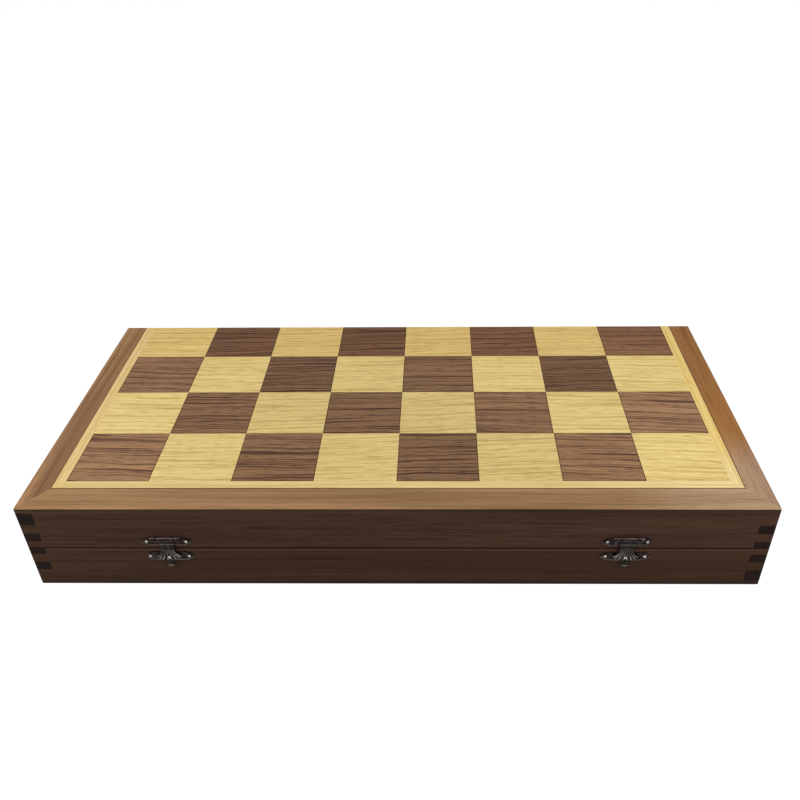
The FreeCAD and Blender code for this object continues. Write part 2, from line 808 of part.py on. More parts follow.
def latch_nail(name, x, z):
    """A domed tack with a square shank, driven through a latch plate."""
    face = "-half_depth - plate_thickness"
    stud = flats(f"{name}_stud", "nail_head_radius", "nail_head_height", x, face, z, 90, (1, 0, 0))
    head = bevelled(f"{name}_head", stud, "nail_head_height", "nail_bevel")
    shank = box(
        f"{name}_shank", "nail_shank", "plate_thickness + nail_length", "nail_shank",
        f"{x} - nail_shank / 2", face, f"{z} - nail_shank / 2")
    return fuse(name, [head, shank])


def latches():
    """Two latches: plates, flaps, pins and nails."""
    for side, x in latch_sides():
        hinge_plate(side, x)
        catch_plate(side, x)
        latch_flap(side, x)
        span = "flap_knuckle_length + 2 * (latch_knuckle_gap + plate_knuckle_length)"
        pin = rod(
            f"{side}_latch_rod", "latch_pin_radius", span, f"{x} - ({span}) / 2",
            "-half_depth - latch_axis_depth", "tray_height + latch_axis_rise", 90, (0, 1, 0))
        node(pin, f"{side}_latch_pin")
    for half, z in (("upper", "tray_height + nail_rise"), ("lower", "tray_height - nail_rise")):
        nails = [latch_nail(f"{half}_nail{number}", x, z) for number, x in enumerate(nail_places())]
        node(group(f"{half}_nails", nails), f"{half}_latch_nails")


def write_steps():
    """Check every object of the document, then write each piece to its own file."""
    doc.recompute()
    for item in doc.Objects:
        if "Invalid" in item.State or "Error" in item.State:
            raise RuntimeError(f"{item.Name} failed: {item.State}")
    for item in nodes:
        if item.Shape.isNull() or not item.Shape.isValid() or not item.Shape.Solids:
            raise RuntimeError(f"{item.Label} has no sound solid")
    os.makedirs("parts", exist_ok=True)
    for item in nodes:
        item.Shape.exportStep(os.path.join("parts", f"{item.Label}.step"))
        print(f"{item.Label}: {len(item.Shape.Solids)} solid(s), {item.Shape.Volume:.1f} mm3")


def main():
    """Build both trays, then the hinges and latches."""
    envelope = tray_envelope()
    for half in ("lower", "upper"):
        tray_walls(half, envelope)
        tray_frame(half, envelope)
        tray_bands(half)
        chess_squares(half)
        tray_panels(half)
        backgammon_board(half)
    hinges()
    latches()
    write_steps()


main()
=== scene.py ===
"""Dress the folding chess and backgammon case: inlaid woods, hinges and fluted latches.

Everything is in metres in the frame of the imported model: X runs along the case, the latches
face -Y, the hinges are at +Y and Z is up from the table.
"""

import json
import logging
import math
import random
from dataclasses import dataclass, replace
from enum import Enum
from typing import Any

import bmesh
import bpy
from bpy.types import Material, Node, NodeSocket, Object, World
from mathutils import Matrix, Vector


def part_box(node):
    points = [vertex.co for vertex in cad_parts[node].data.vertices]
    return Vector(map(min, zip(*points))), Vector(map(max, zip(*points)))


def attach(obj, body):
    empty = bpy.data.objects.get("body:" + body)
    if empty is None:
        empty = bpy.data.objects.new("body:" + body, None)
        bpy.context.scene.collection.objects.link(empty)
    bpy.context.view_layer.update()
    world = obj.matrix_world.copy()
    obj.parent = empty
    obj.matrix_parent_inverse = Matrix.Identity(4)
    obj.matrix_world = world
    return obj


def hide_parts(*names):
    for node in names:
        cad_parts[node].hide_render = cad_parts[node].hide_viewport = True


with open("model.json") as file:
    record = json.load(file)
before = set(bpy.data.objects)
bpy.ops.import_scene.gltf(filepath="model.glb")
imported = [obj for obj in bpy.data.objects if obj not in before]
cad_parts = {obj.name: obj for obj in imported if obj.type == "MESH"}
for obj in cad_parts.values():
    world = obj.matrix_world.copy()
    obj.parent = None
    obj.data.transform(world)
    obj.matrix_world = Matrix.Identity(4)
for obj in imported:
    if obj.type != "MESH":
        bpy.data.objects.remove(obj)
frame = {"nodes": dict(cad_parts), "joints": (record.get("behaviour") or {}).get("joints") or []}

log = logging.getLogger("case")

Pair = tuple[float, float]
Triple = tuple[float, float, float]
Profile = list[Pair]
Source = Node | NodeSocket | str

MM = 0.001
UPWARD = (0.0, 0.0, 1.0)
# The inputs of a colour Mix node: the share of the upper colour, and the two colours.
SHARE, UNDER, OVER = 0, 6, 7
# Half of a leaf or of a growth ring, where its edges are furthest away.
HALFWAY = 0.5
# The sRGB curve: straight up to its knee and a power above it.
SRGB_KNEE, SRGB_SLOPE, SRGB_LIFT, SRGB_POWER = 0.04045, 12.92, 0.055, 2.4
# How far apart the leaves of a veneer lie in the flitch at most, in millimetres.
LEAF_SPREAD = (911.0, 733.0, 577.0)
# The size of the log that the boards are cut from, in millimetres.
LOG_MM = (900.0, 300.0, 300.0)
# How many facets a turned shape has and how many chords an arc, and which edges are shaded smooth.
TURN_FACETS = 32
ARC_CHORDS = 8
SMOOTH_DEG = 35.0


class Half(Enum):
    """The two trays of the case."""

    LOWER = "lower"
    UPPER = "upper"


class Side(Enum):
    """The two ends of the case, which each have a hinge and a latch."""

    LEFT = "left"
    RIGHT = "right"


class Fibre(Enum):
    """Which way a piece's fibres run, as the turn about Z that brings them onto X."""

    ALONG_X = 0.0
    ALONG_Y = -math.pi / 2


def linear(colour: str) -> tuple[float, float, float, float]:
    """Turn an sRGB colour into linear light.

    Args:
        colour: The colour as six hex digits after a hash.

    Returns:
        The colour in linear light, with full opacity.
    """
    light = []
    for start in (1, 3, 5):
        share = int(colour[start : start + 2], 16) / 255
        curved = ((share + SRGB_LIFT) / (1 + SRGB_LIFT)) ** SRGB_POWER
        light.append(curved if share > SRGB_KNEE else share / SRGB_SLOPE)
    return (*light, 1.0)


class Nodes:
    """The node tree of a material or of the sky, in the making."""

    def __init__(self, owner: Material | World) -> None:
        """Start with an empty tree.

        Args:
            owner: The material or sky that the tree belongs to.
        """
        owner.use_nodes = True
        self.tree = owner.node_tree
        self.tree.nodes.clear()

    def add(self, kind: str, inputs: dict[str | int, Any] | None = None, **settings: Any) -> Node:
        """Add a shader node, set it up, and set or link its inputs.

        Args:
            kind: The node's type, without the ShaderNode that they all start with.
            inputs: By input name or number: a value, a hex colour, or the socket or node to link
                from, where a node gives the first output that is in use.
            settings: Properties of the node itself.

        Returns:
            The new node.
        """
        node = self.tree.nodes.new(f"ShaderNode{kind}")
        for name, value in settings.items():
            setattr(node, name, value)
        for key, value in (inputs or {}).items():
            if isinstance(value, Node):
                value = next(socket for socket in value.outputs if socket.enabled)
            if isinstance(value, NodeSocket):
                self.tree.links.new(value, node.inputs[key])
            else:
                node.inputs[key].default_value = linear(value) if isinstance(value, str) else value
        return node


class Surface(Nodes):
    """A finish in the making, with the place and slope of each point of the piece."""

    def __init__(self, name: str) -> None:
        """Start an empty material.

        Args:
            name: The material's name.
        """
        self.material = bpy.data.materials.new(name)
        super().__init__(self.material)
        coords = self.add("TexCoord")
        self.normal = coords.outputs["Normal"]
        metres = {0: coords.outputs["Object"], "Scale": 1 / MM}
        self.point = self.add("VectorMath", metres, operation="SCALE")

    def along(self, axis: str) -> NodeSocket:
        """Give the point's place along one axis, in millimetres."""
        return self.add("SeparateXYZ", {0: self.point}).outputs[axis]

    def away(self, axis: str, level_mm: float = 0.0) -> Node:
        """Give the point's distance from a level along one axis, in millimetres."""
        past = self.add("Math", {0: self.along(axis), 1: level_mm}, operation="SUBTRACT")
        return self.add("Math", {0: past}, operation="ABSOLUTE")

    def facing(self, axis: Triple) -> Node:
        """Give how squarely the surface faces along an axis, either way, from 0 to 1."""
        slope = self.add("VectorMath", {0: self.normal, 1: axis}, operation="DOT_PRODUCT")
        return self.add("Math", {0: slope}, operation="ABSOLUTE")

    def cloud(self, point: Source, size_mm: Pair, detail: float, roughness: float) -> Node:
        """Draw a soft random cloud.

        Args:
            point: The point to draw at, in millimetres.
            size_mm: How long its patches are along X and how wide across it.
            detail: How many finer layers it has.
            roughness: How strong these are.

        Returns:
            The cloud, from 0 to 1.
        """
        length, width = size_mm
        scale = (1 / length, 1 / width, 1 / width)
        shrunk = self.add("VectorMath", {0: point, 1: scale}, operation="MULTIPLY")
        look = {"Vector": shrunk, "Scale": 1.0, "Detail": detail, "Roughness": roughness}
        return self.add("TexNoise", look)

    def tint(
        self,
        colour: Source,
        over: Source,
        value: Source,
        limits: tuple[Any, Any],
        most: Any = 1.0,
        ease: str = "LINEAR",
    ) -> Node:
        """Lay one colour over another where a value passes from one limit to the other.

        Args:
            colour: The colour below.
            over: The colour laid over it.
            value: What decides how much of it shows.
            limits: The values at which it starts to show and is full, numbers or nodes.
            most: How much of it shows where it is full, a number or a node.
            ease: The way from one limit to the other.

        Returns:
            The colour of both.
        """
        shown = {"Value": value, "From Min": limits[0], "From Max": limits[1], "To Max": most}
        share = self.add("MapRange", shown, interpolation_type=ease)
        return self.add("Mix", {SHARE: share, UNDER: colour, OVER: over}, data_type="RGBA")


@dataclass(frozen=True, kw_only=True)
class Finish:
    """What every finish has: a name and the way its surface takes the light."""

    name: str
    roughness: float
    roughness_spread: float = 0.06
    specular: float = 0.5
    metallic: float = 0.0
    ior: float = 1.5
    relief_mm: float = 0.05
    relief_strength: float = 0.3

    def close(self, surface: Surface, colour: Source, depth: Source) -> Material:
        """Shade a surface, and sink and dull it where depth is high.

        Args:
            surface: The surface in the making.
            colour: Its colour.
            depth: From 0 on the smooth face to 1 in a pore or pit.

        Returns:
            The finished material.
        """
        smooth, dull = self.roughness - self.roughness_spread, self.roughness + self.roughness_spread
        rough = surface.add("MapRange", {"Value": depth, "To Min": smooth, "To Max": dull})
        relief = {"Strength": self.relief_strength, "Distance": self.relief_mm * MM, "Height": depth}
        look = {
            "Base Color": colour,
            "Roughness": rough,
            "Metallic": self.metallic,
            "IOR": self.ior,
            "Specular IOR Level": self.specular,
            "Normal": surface.add("Bump", relief, invert=True),
        }
        surface.add("OutputMaterial", {"Surface": surface.add("BsdfPrincipled", look)})
        return surface.material


@dataclass(frozen=True)
class Drift:
    """How a wood turns to other tones along one axis of the case, and from where to where (painted shade
    on the squares).
    """

    light: str
    dark: str
    from_mm: float
    to_mm: float
    axis: str


@dataclass(frozen=True, kw_only=True)
class Wood(Finish):
    """A sawn or sliced wood: growth rings, finer lines, tone bands and pores along the fibre.

    The sizes are in millimetres on the wood itself, those of streaks as length and width. Pores
    are drawn about twice as wide as they are, because real ones are too fine to show.
    """

    light: str
    dark: str
    pore: str
    end: str
    end_dark: str
    end_facing: Pair = (0.75, 0.9)
    far: Drift | None = None
    fibre: Fibre = Fibre.ALONG_X
    seed_mm: Triple = (0.0, 0.0, 0.0)
    ring_mm: float = 11.0
    ring_share: float = 0.3
    ring_shows: Pair = (0.35, 0.65)
    ring_strength: float = 0.3
    waver_mm: float = 8.0
    waver_size_mm: Pair = (110.0, 24.0)
    line_size_mm: Pair = (110.0, 2.2)
    line_shows: Pair = (0.48, 0.68)
    line_strength: float = 0.6
    band_size_mm: Pair = (220.0, 16.0)
    band_shows: Pair = (0.3, 0.7)
    band_strength: float = 0.5
    pore_size_mm: Pair = (9.0, 0.7)
    pore_shows: Pair = (0.56, 0.72)
    pore_strength: float = 0.45
    pore_detail: float = 0.0
    streak_detail: float = 2.0
    streak_roughness: float = 0.55
    # Veneer is laid in leaves, each from its own place in the flitch, a little turned.
    leaf_mm: Triple | None = None
    leaf_from_mm: Triple = (0.0, 0.0, 0.0)
    leaf_start: tuple[int, int, int] = (0, 0, 0)
    leaf_tilt_deg: float = 4.0
    leaf_tone: float = 0.12
    joint: str | None = None
    joint_mm: float = 0.65
    # A dark line of glue along a strip's inner edge.
    glue: str | None = None
    glue_from_mm: float = 0.0
    glue_mm: float = 1.0
    # Stained sides, light and dark, whose darkness is partly painted shade. The dark reaches over the
    # arris until the face lies this level, less far towards the ends of the case, and it is full where
    # the face is nearly upright.
    side: tuple[str, str] | None = None
    side_reach: Pair = (0.98, 0.6)
    side_full: float = 0.3
    reach_fade_mm: Pair = (110.0, 190.0)
    # A dark band along the arris: painted shade and grime under a top edge, a painted shadow at a foot.
    arris_mm: float = 0.0
    arris_shade_mm: float = 2.2
    # The seam where the halves meet: painted shade in the gap, and below it a light line that is
    # wear and a painted highlight.
    rim_mm: float | None = None
    rim_line_mm: Pair = (0.72, 0.54)
    rim_facing: Pair = (0.9, 0.7)
    shade_and_grime: str = "#20140E"
    wear_and_highlight: str = "#5E4535"
    highlight_below_mm: float = 1.5

    def leaf_count(self, surface: Surface) -> Node:
        """Count the leaves from the flitch's first one to the point, each way.

        Args:
            surface: The surface in the making.

        Returns:
            The count, whose whole part is the leaf and whose rest is the place in it.
        """
        starts = zip(self.leaf_from_mm, self.leaf_mm, self.leaf_start)
        first = tuple(start - size * number for start, size, number in starts)
        moved = surface.add("VectorMath", {0: surface.point, 1: first}, operation="SUBTRACT")
        return surface.add("VectorMath", {0: moved, 1: self.leaf_mm}, operation="DIVIDE")

    def lay(self, surface: Surface) -> tuple[Node, NodeSocket | None]:
        """Find where a point of the piece lies in the wood it was cut from.

        Args:
            surface: The surface in the making.

        Returns:
            The point in the wood, X along the fibre, in millimetres, and the leaf's own random
            value, or None where the piece is cut from one board.
        """
        place = surface.point
        chance = None
        if self.leaf_mm:
            leaf = surface.add("VectorMath", {0: self.leaf_count(surface)}, operation="FLOOR")
            draw = surface.add("TexWhiteNoise", {"Vector": leaf}, noise_dimensions="3D")
            chance = draw.outputs["Value"]
            shift = {0: draw.outputs["Color"], 1: LEAF_SPREAD, 2: place}
            moved = surface.add("VectorMath", shift, operation="MULTIPLY_ADD")
            tilt = math.radians(self.leaf_tilt_deg)
            angle = surface.add("MapRange", {"Value": chance, "To Min": -tilt, "To Max": tilt})
            turned = {"Vector": moved, "Angle": angle}
            place = surface.add("VectorRotate", turned, rotation_type="Z_AXIS")
        board = {"Vector": place, "Location": self.seed_mm, "Rotation": (0.0, 0.0, self.fibre.value)}
        return surface.add("Mapping", board), chance

    def growth(self, surface: Surface, grain: Source) -> tuple[Node, Node]:
        """Draw the growth rings, finer lines, tone bands and pores.

        Args:
            surface: The surface in the making.
            grain: The point in the wood, X along the fibre, in millimetres.

        Returns:
            How far the wood goes from its light to its dark colour, and the pores.
        """
        detail, rough = self.streak_detail, self.streak_roughness
        waver = surface.add("CombineXYZ", {"Y": surface.cloud(grain, self.waver_size_mm, detail, rough)})
        sway = {0: waver, 1: (0.0, self.waver_mm, 0.0), 2: grain}
        grain = surface.add("VectorMath", sway, operation="MULTIPLY_ADD")
        count = {0: grain, 1: (0.0, 1 / self.ring_mm, 0.0)}
        ring = surface.add("VectorMath", count, operation="DOT_PRODUCT")
        middle = surface.add("Math", {0: ring, 1: HALFWAY}, operation="PINGPONG")
        shown = {"Value": middle, "From Min": self.ring_share / 2, "From Max": 0.0}
        rings = surface.add("MapRange", shown, interpolation_type="SMOOTHSTEP")
        patch_mm = (self.waver_size_mm[0] / 2, self.ring_mm / 2)
        layers = (
            (patch_mm, self.ring_shows, self.ring_strength, detail, "LINEAR"),
            (self.band_size_mm, self.band_shows, self.band_strength, detail, "LINEAR"),
            (self.line_size_mm, self.line_shows, self.line_strength, detail, "SMOOTHSTEP"),
            (self.pore_size_mm, self.pore_shows, self.pore_strength, self.pore_detail, "LINEAR"),
        )
        drawn = []
        for size_mm, shows, strength, finer, ease in layers:
            cloud = surface.cloud(grain, size_mm, finer, rough)
            shown = {"Value": cloud, "From Min": shows[0], "From Max": shows[1], "To Max": strength}
            drawn.append(surface.add("MapRange", shown, interpolation_type=ease))
        strong, bands, lines, pores = drawn
        banded = surface.add("Math", {0: rings, 1: strong, 2: bands}, operation="MULTIPLY_ADD")
        return surface.add("Math", {0: lines, 1: banded}, operation="ADD", use_clamp=True), pores

    def tone(self, surface: Surface, depth: Source) -> Node:
        """Colour the wood from light to dark, and to its other tones where it has them.

        Args:
            surface: The surface in the making.
            depth: How far the wood goes from light to dark.

        Returns:
            The wood's colour.
        """
        tones = [
            surface.add("Mix", {SHARE: depth, UNDER: wood.light, OVER: wood.dark}, data_type="RGBA")
            for wood in (self, self.far)
            if wood
        ]
        if not self.far:
            return tones[0]
        limits = (self.far.from_mm, self.far.to_mm)
        return surface.tint(*tones, surface.along(self.far.axis), limits, ease="SMOOTHSTEP")

    def stain_and_shade_sides(self, surface: Surface, colour: Source, depth: Source) -> Node:
        """Stain the upright edges of a strip and paint shade on them, with its grain showing through.

        The dark runs over the arris along the middle of the case and less far towards the corners. A
        dark band lies along the arris: painted shade and grime under the top, a painted shadow at the
        foot.

        Args:
            surface: The surface in the making.
            colour: The colour of the face.
            depth: How far the wood goes from light to dark.

        Returns:
            The colour of face and edges.
        """
        reach = {
            "Value": surface.away("X"),
            "From Min": self.reach_fade_mm[0],
            "From Max": self.reach_fade_mm[1],
            "To Min": self.side_reach[0],
            "To Max": self.side_reach[1],
        }
        limits = (surface.add("MapRange", reach), self.side_full)
        light, dark = self.side
        side = surface.add("Mix", {SHARE: depth, UNDER: light, OVER: dark}, data_type="RGBA")
        under = surface.away("Z", self.arris_mm)
        side = surface.tint(side, self.shade_and_grime, under, (self.arris_shade_mm, 0.0))
        return surface.tint(colour, side, surface.facing(UPWARD), limits)

    def rim_line(self, surface: Surface, colour: Source) -> Source:
        """Paint shade in the seam between the halves, and the worn edge with its painted highlight below
        it.

        Args:
            surface: The surface in the making.
            colour: The colour of the wood.

        Returns:
            The colour with the seam on its upright faces.
        """
        start, full = self.rim_facing
        slope = {"Value": surface.facing(UPWARD), "From Min": start, "From Max": full}
        upright = surface.add("MapRange", slope)
        for below, over in ((self.highlight_below_mm, self.wear_and_highlight), (0.0, self.shade_and_grime)):
            away = surface.away("Z", self.rim_mm - below)
            colour = surface.tint(colour, over, away, self.rim_line_mm, upright)
        return colour

    def joint_line(self, surface: Surface, colour: Source) -> Node:
        """Draw the thin dark joint round each leaf.

        Args:
            surface: The surface in the making.
            colour: The wood's colour.

        Returns:
            The colour with the joints on it.
        """
        parts = surface.add("SeparateXYZ", {0: self.leaf_count(surface)}).outputs
        away = {
            number: surface.add("Math", {0: parts[axis], 1: HALFWAY}, operation="PINGPONG")
            for number, axis in enumerate("XY")
        }
        nearest = surface.add("Math", away, operation="MINIMUM")
        share = self.joint_mm / self.leaf_mm[0]
        return surface.tint(colour, self.joint, nearest, (share, share / 2))

    def build(self) -> Material:
        """Build the wood's material.

        Returns:
            The material.
        """
        surface = Surface(self.name)
        grain, chance = self.lay(surface)
        depth, pores = self.growth(surface, grain)
        colour = self.tone(surface, depth)
        colour = surface.add("Mix", {SHARE: pores, UNDER: colour, OVER: self.pore}, data_type="RGBA")
        if chance is not None:
            spread = {"Value": chance, "To Min": 1 - self.leaf_tone, "To Max": 1 + self.leaf_tone}
            bright = surface.add("MapRange", spread)
            colour = surface.add("HueSaturation", {"Color": colour, "Value": bright})
        straight = self.fibre is Fibre.ALONG_X
        if self.glue:
            limits = (self.glue_from_mm + self.glue_mm, self.glue_from_mm + self.glue_mm / 2)
            colour = surface.tint(colour, self.glue, surface.away("Y" if straight else "X"), limits)
        if self.side:
            colour = self.stain_and_shade_sides(surface, colour, depth)
        if self.rim_mm:
            colour = self.rim_line(surface, colour)
        if self.joint:
            colour = self.joint_line(surface, colour)
        ends = surface.add("Mix", {SHARE: depth, UNDER: self.end, OVER: self.end_dark}, data_type="RGBA")
        along = (1.0, 0.0, 0.0) if straight else (0.0, 1.0, 0.0)
        colour = surface.tint(colour, ends, surface.facing(along), self.end_facing)
        return self.close(surface, colour, pores)


@dataclass(frozen=True, kw_only=True)
class Plywood(Finish):
    """Thin plywood: plies that turn light and dark through the thickness."""

    light: str
    dark: str
    edge: str
    ply_mm: float = 1.1
    ply_turn_mm: Pair = (0.44, 0.66)
    ply_strength: float = 0.5
    fibre_mm: Pair = (60.0, 1.2)
    fibre_detail: float = 3.0
    fibre_roughness: float = 0.5
    dark_limits: Pair = (0.3, 1.2)
    edge_facing: Pair = (0.6, 0.3)
    edge_strength: float = 0.85

    def build(self) -> Material:
        """Build the plywood's material.

        Returns:
            The material.
        """
        surface = Surface(self.name)
        plies = {0: surface.along("Z"), 1: self.ply_mm}
        through = surface.add("Math", plies, operation="PINGPONG")
        start, full = self.ply_turn_mm
        ply = surface.add("MapRange", {"Value": through, "From Min": start, "From Max": full})
        fibres = surface.cloud(surface.point, self.fibre_mm, self.fibre_detail, self.fibre_roughness)
        both = {0: ply, 1: self.ply_strength, 2: fibres}
        depth = surface.add("Math", both, operation="MULTIPLY_ADD")
        colour = surface.tint(self.light, self.dark, depth, self.dark_limits)
        upright = surface.facing(UPWARD)
        colour = surface.tint(colour, self.edge, upright, self.edge_facing, self.edge_strength)
        return self.close(surface, colour, fibres)


@dataclass(frozen=True, kw_only=True)
class Metal(Finish):
    """A thin metal fitting that is dark where it has aged and bright where hands rub it."""

    aged: str
    bright: str
    marks_mm: Pair = (2.5, 2.5)
    mark_detail: float = 4.0
    mark_roughness: float = 0.6
    mark_limits: Pair = (0.3, 0.7)
    mottle: float = 0.35
    metallic: float = 1.0

    def build(self) -> Material:
        """Build the metal's material.

        Returns:
            The material.
        """
        surface = Surface(self.name)
        spots = surface.cloud(surface.point, self.marks_mm, self.mark_detail, self.mark_roughness)
        start, full = self.mark_limits
        spread = {"Value": spots, "From Min": start, "From Max": full}
        patch = surface.add("MapRange", {**spread, "To Min": -self.mottle, "To Max": self.mottle})
        worn_and_lit = surface.add("Attribute", attribute_name="wear").outputs["Fac"]
        wear_and_highlight = surface.add("Math", {0: worn_and_lit, 1: patch}, operation="ADD", use_clamp=True)
        tones = {SHARE: wear_and_highlight, UNDER: self.aged, OVER: self.bright}
        return self.close(surface, surface.add("Mix", tones, data_type="RGBA"), spots)


# Walnut boards, planed and oiled: nearly black-brown from the front, with faint long grain.
UPPER_WALNUT = Wood(
    name="oiled_walnut_boards", roughness=0.5, specular=0.04, relief_mm=0.04,
    light="#5B4132", dark="#3D2A21", pore="#2E1F18", end="#2B1D19", end_dark="#19100E",
    ring_mm=14.0, ring_strength=0.2, waver_size_mm=(160.0, 24.0), pore_strength=0.2,
    line_size_mm=(120.0, 1.1), line_strength=0.55, band_size_mm=(220.0, 14.0),
)
# The lower boards are a little darker.
LOWER_WALNUT = replace(UPPER_WALNUT, light="#533A2B", dark="#37251B")
# Lighter walnut for the frame, oiled: warm mid brown with long fine streaks. Its outer edges are
# stained down to the colour of the walls, a darkness that is partly painted shade.
FRONT_FRAME = Wood(
    name="oiled_walnut_frame_front", roughness=0.45, specular=0.05,
    light="#A6825A", dark="#6E4D30", pore="#644A32", end="#4A3529", end_dark="#33231B",
    far=Drift("#BB9C7B", "#886A4E", 130.0, 215.0, "X"),
    side=("#553D30", "#3A2820"), glue="#47301A",
    ring_strength=0.1, waver_mm=5.0, pore_strength=0.25,
    line_size_mm=(140.0, 1.4), line_strength=0.35, band_size_mm=(260.0, 12.0), band_strength=0.7,
)
# Each strip is from a board of its own, and some turn to paler sapwood at one end. On the two end
# strips the dark sides reach over the arris all along.
FRAMES = {
    "front": FRONT_FRAME,
    "left": replace(
        FRONT_FRAME, name="oiled_walnut_frame_left", fibre=Fibre.ALONG_Y,
        light="#AD845D", dark="#6C4A32", far=Drift("#BA8E61", "#785430", -20.0, 80.0, "Y"),
        band_size_mm=(260.0, 10.0), band_strength=0.75, reach_fade_mm=(300.0, 400.0), glue=None,
    ),
    "right": replace(
        FRONT_FRAME, name="oiled_walnut_frame_right", fibre=Fibre.ALONG_Y,
        light="#B69576", dark="#886854", far=Drift("#AC7A42", "#7E4D22", -85.0, -30.0, "Y"),
        reach_fade_mm=(300.0, 400.0), glue="#6E4A2C",
    ),
}
# Straight-grained oak stringing, oiled: pale straw with fine lines along it.
FRONT_BAND = Wood(
    name="oiled_oak_band_front", roughness=0.45, specular=0.05,
    light="#E8D092", dark="#C7A761", pore="#BE9B58", end="#C8A868", end_dark="#A5823F",
    far=Drift("#F4DFA6", "#D6BA76", 90.0, 210.0, "X"),
    ring_mm=4.0, waver_mm=3.0, pore_strength=0.3,
    line_size_mm=(110.0, 1.2), line_strength=0.5, band_size_mm=(220.0, 5.0), band_strength=0.35,
)
BANDS = {
    "front": FRONT_BAND,
    "left": replace(
        FRONT_BAND, name="oiled_oak_band_left", fibre=Fibre.ALONG_Y,
        light="#E8CB8D", dark="#C7A25C", far=None,
    ),
    "right": replace(
        FRONT_BAND, name="oiled_oak_band_right", fibre=Fibre.ALONG_Y,
        light="#F1DB9F", dark="#D0B26E", far=Drift("#EED084", "#CDA852", -95.0, -45.0, "Y"),
    ),
}
# Sliced walnut veneer for the dark squares, oiled: brown with many long dark lines.
# The back row turns darker: painted shade, where the light falls off towards the back.
DARK_SQUARE = Wood(
    name="oiled_walnut_veneer", roughness=0.45, specular=0.02,
    light="#977354", dark="#422B22", pore="#3E2A1F", end="#4A3224", end_dark="#33231B",
    far=Drift("#92694C", "#3F271E", 50.0, 90.0, "Y"),
    ring_mm=7.6, ring_share=0.26, ring_strength=0.95, waver_mm=9.0, waver_size_mm=(90.0, 24.0),
    line_size_mm=(120.0, 1.4), line_shows=(0.5, 0.63), line_strength=0.62,
    band_strength=0.25, pore_strength=0.5,
    leaf_tone=0.33, leaf_start=(17, 6, 45), joint="#40291C",
)
# Sliced oak veneer for the light squares, oiled: straw yellow with thin wavy tan lines.
# The back row turns darker: painted shade, where the light falls off towards the back.
LIGHT_SQUARE = Wood(
    name="oiled_oak_veneer", roughness=0.45, specular=0.02,
    light="#E9D18B", dark="#AC8845", pore="#A5823F", end="#B8964E", end_dark="#A5823F",
    far=Drift("#EACB81", "#AE8240", 50.0, 90.0, "Y"),
    ring_mm=4.8, ring_strength=0.5, waver_mm=6.0, waver_size_mm=(60.0, 14.0),
    line_size_mm=(90.0, 1.1), line_shows=(0.5, 0.66), line_strength=0.55,
    band_size_mm=(220.0, 10.0), band_strength=0.1, pore_strength=0.4,
    leaf_tone=0.09, leaf_start=(34, 40, 23),
)
# Birch plywood, sawn: pale plies with a darker glue line between them, stained at the edges.
PANEL_PLYWOOD = Plywood(
    name="sawn_birch_plywood", roughness=0.6, specular=0.05,
    light="#D9BC8C", dark="#A9814F", edge="#3A2820",
)
# Ash veneer inside, waxed: pale with open straight grain.
FIELD_ASH = replace(
    LIGHT_SQUARE, name="waxed_ash_field", roughness=0.5,
    light="#DCC088", dark="#B8955A", far=None, waver_size_mm=(60.0, 30.0),
)
# Walnut points let into the field, waxed: a plain dark brown.
DARK_POINT = replace(
    DARK_SQUARE, name="waxed_walnut_points", roughness=0.5,
    light="#7A5740", dark="#452F23", far=None, leaf_tone=0.12, joint=None,
)
# Mahogany points let into the field, waxed: red brown.
RED_POINT = replace(
    DARK_POINT, name="waxed_mahogany_points", light="#A9553A", dark="#7A3524", pore="#5E2A1E"
)
# Rolled brass sheet and wire, lightly tarnished, with fine rolling marks along it.
HINGE_BRASS = Metal(
    name="rolled_brass", roughness=0.32, relief_mm=0.01,
    aged="#957238", bright="#D2B169", marks_mm=(16.0, 0.7), mottle=0.5,
)
# Pressed steel plated in dark bronze, rubbed bright on the ribs and rims, and bright along the
# tops of the barrels and lip, partly as a painted highlight.
LATCH_BRONZE = Metal(
    name="antiqued_bronze_plate", aged="#211A17", bright="#B0A59C", roughness=0.36, mottle=0.1
)
# Nickelled steel: bright domes.
NAIL_STEEL = Metal(
    name="nickelled_steel", aged="#77716C", bright="#C4BDB6", roughness=0.26, mottle=0.3
)


def dress(names: list[str], material: Material) -> None:
    """Give nodes of the frame a material.

    Args:
        names: The nodes' names.
        material: The finish they take.
    """
    for name in names:
        mesh = frame["nodes"][name].data
        mesh.materials.clear()
        mesh.materials.append(material)
        log.info("node %s: %s", name, material.name)


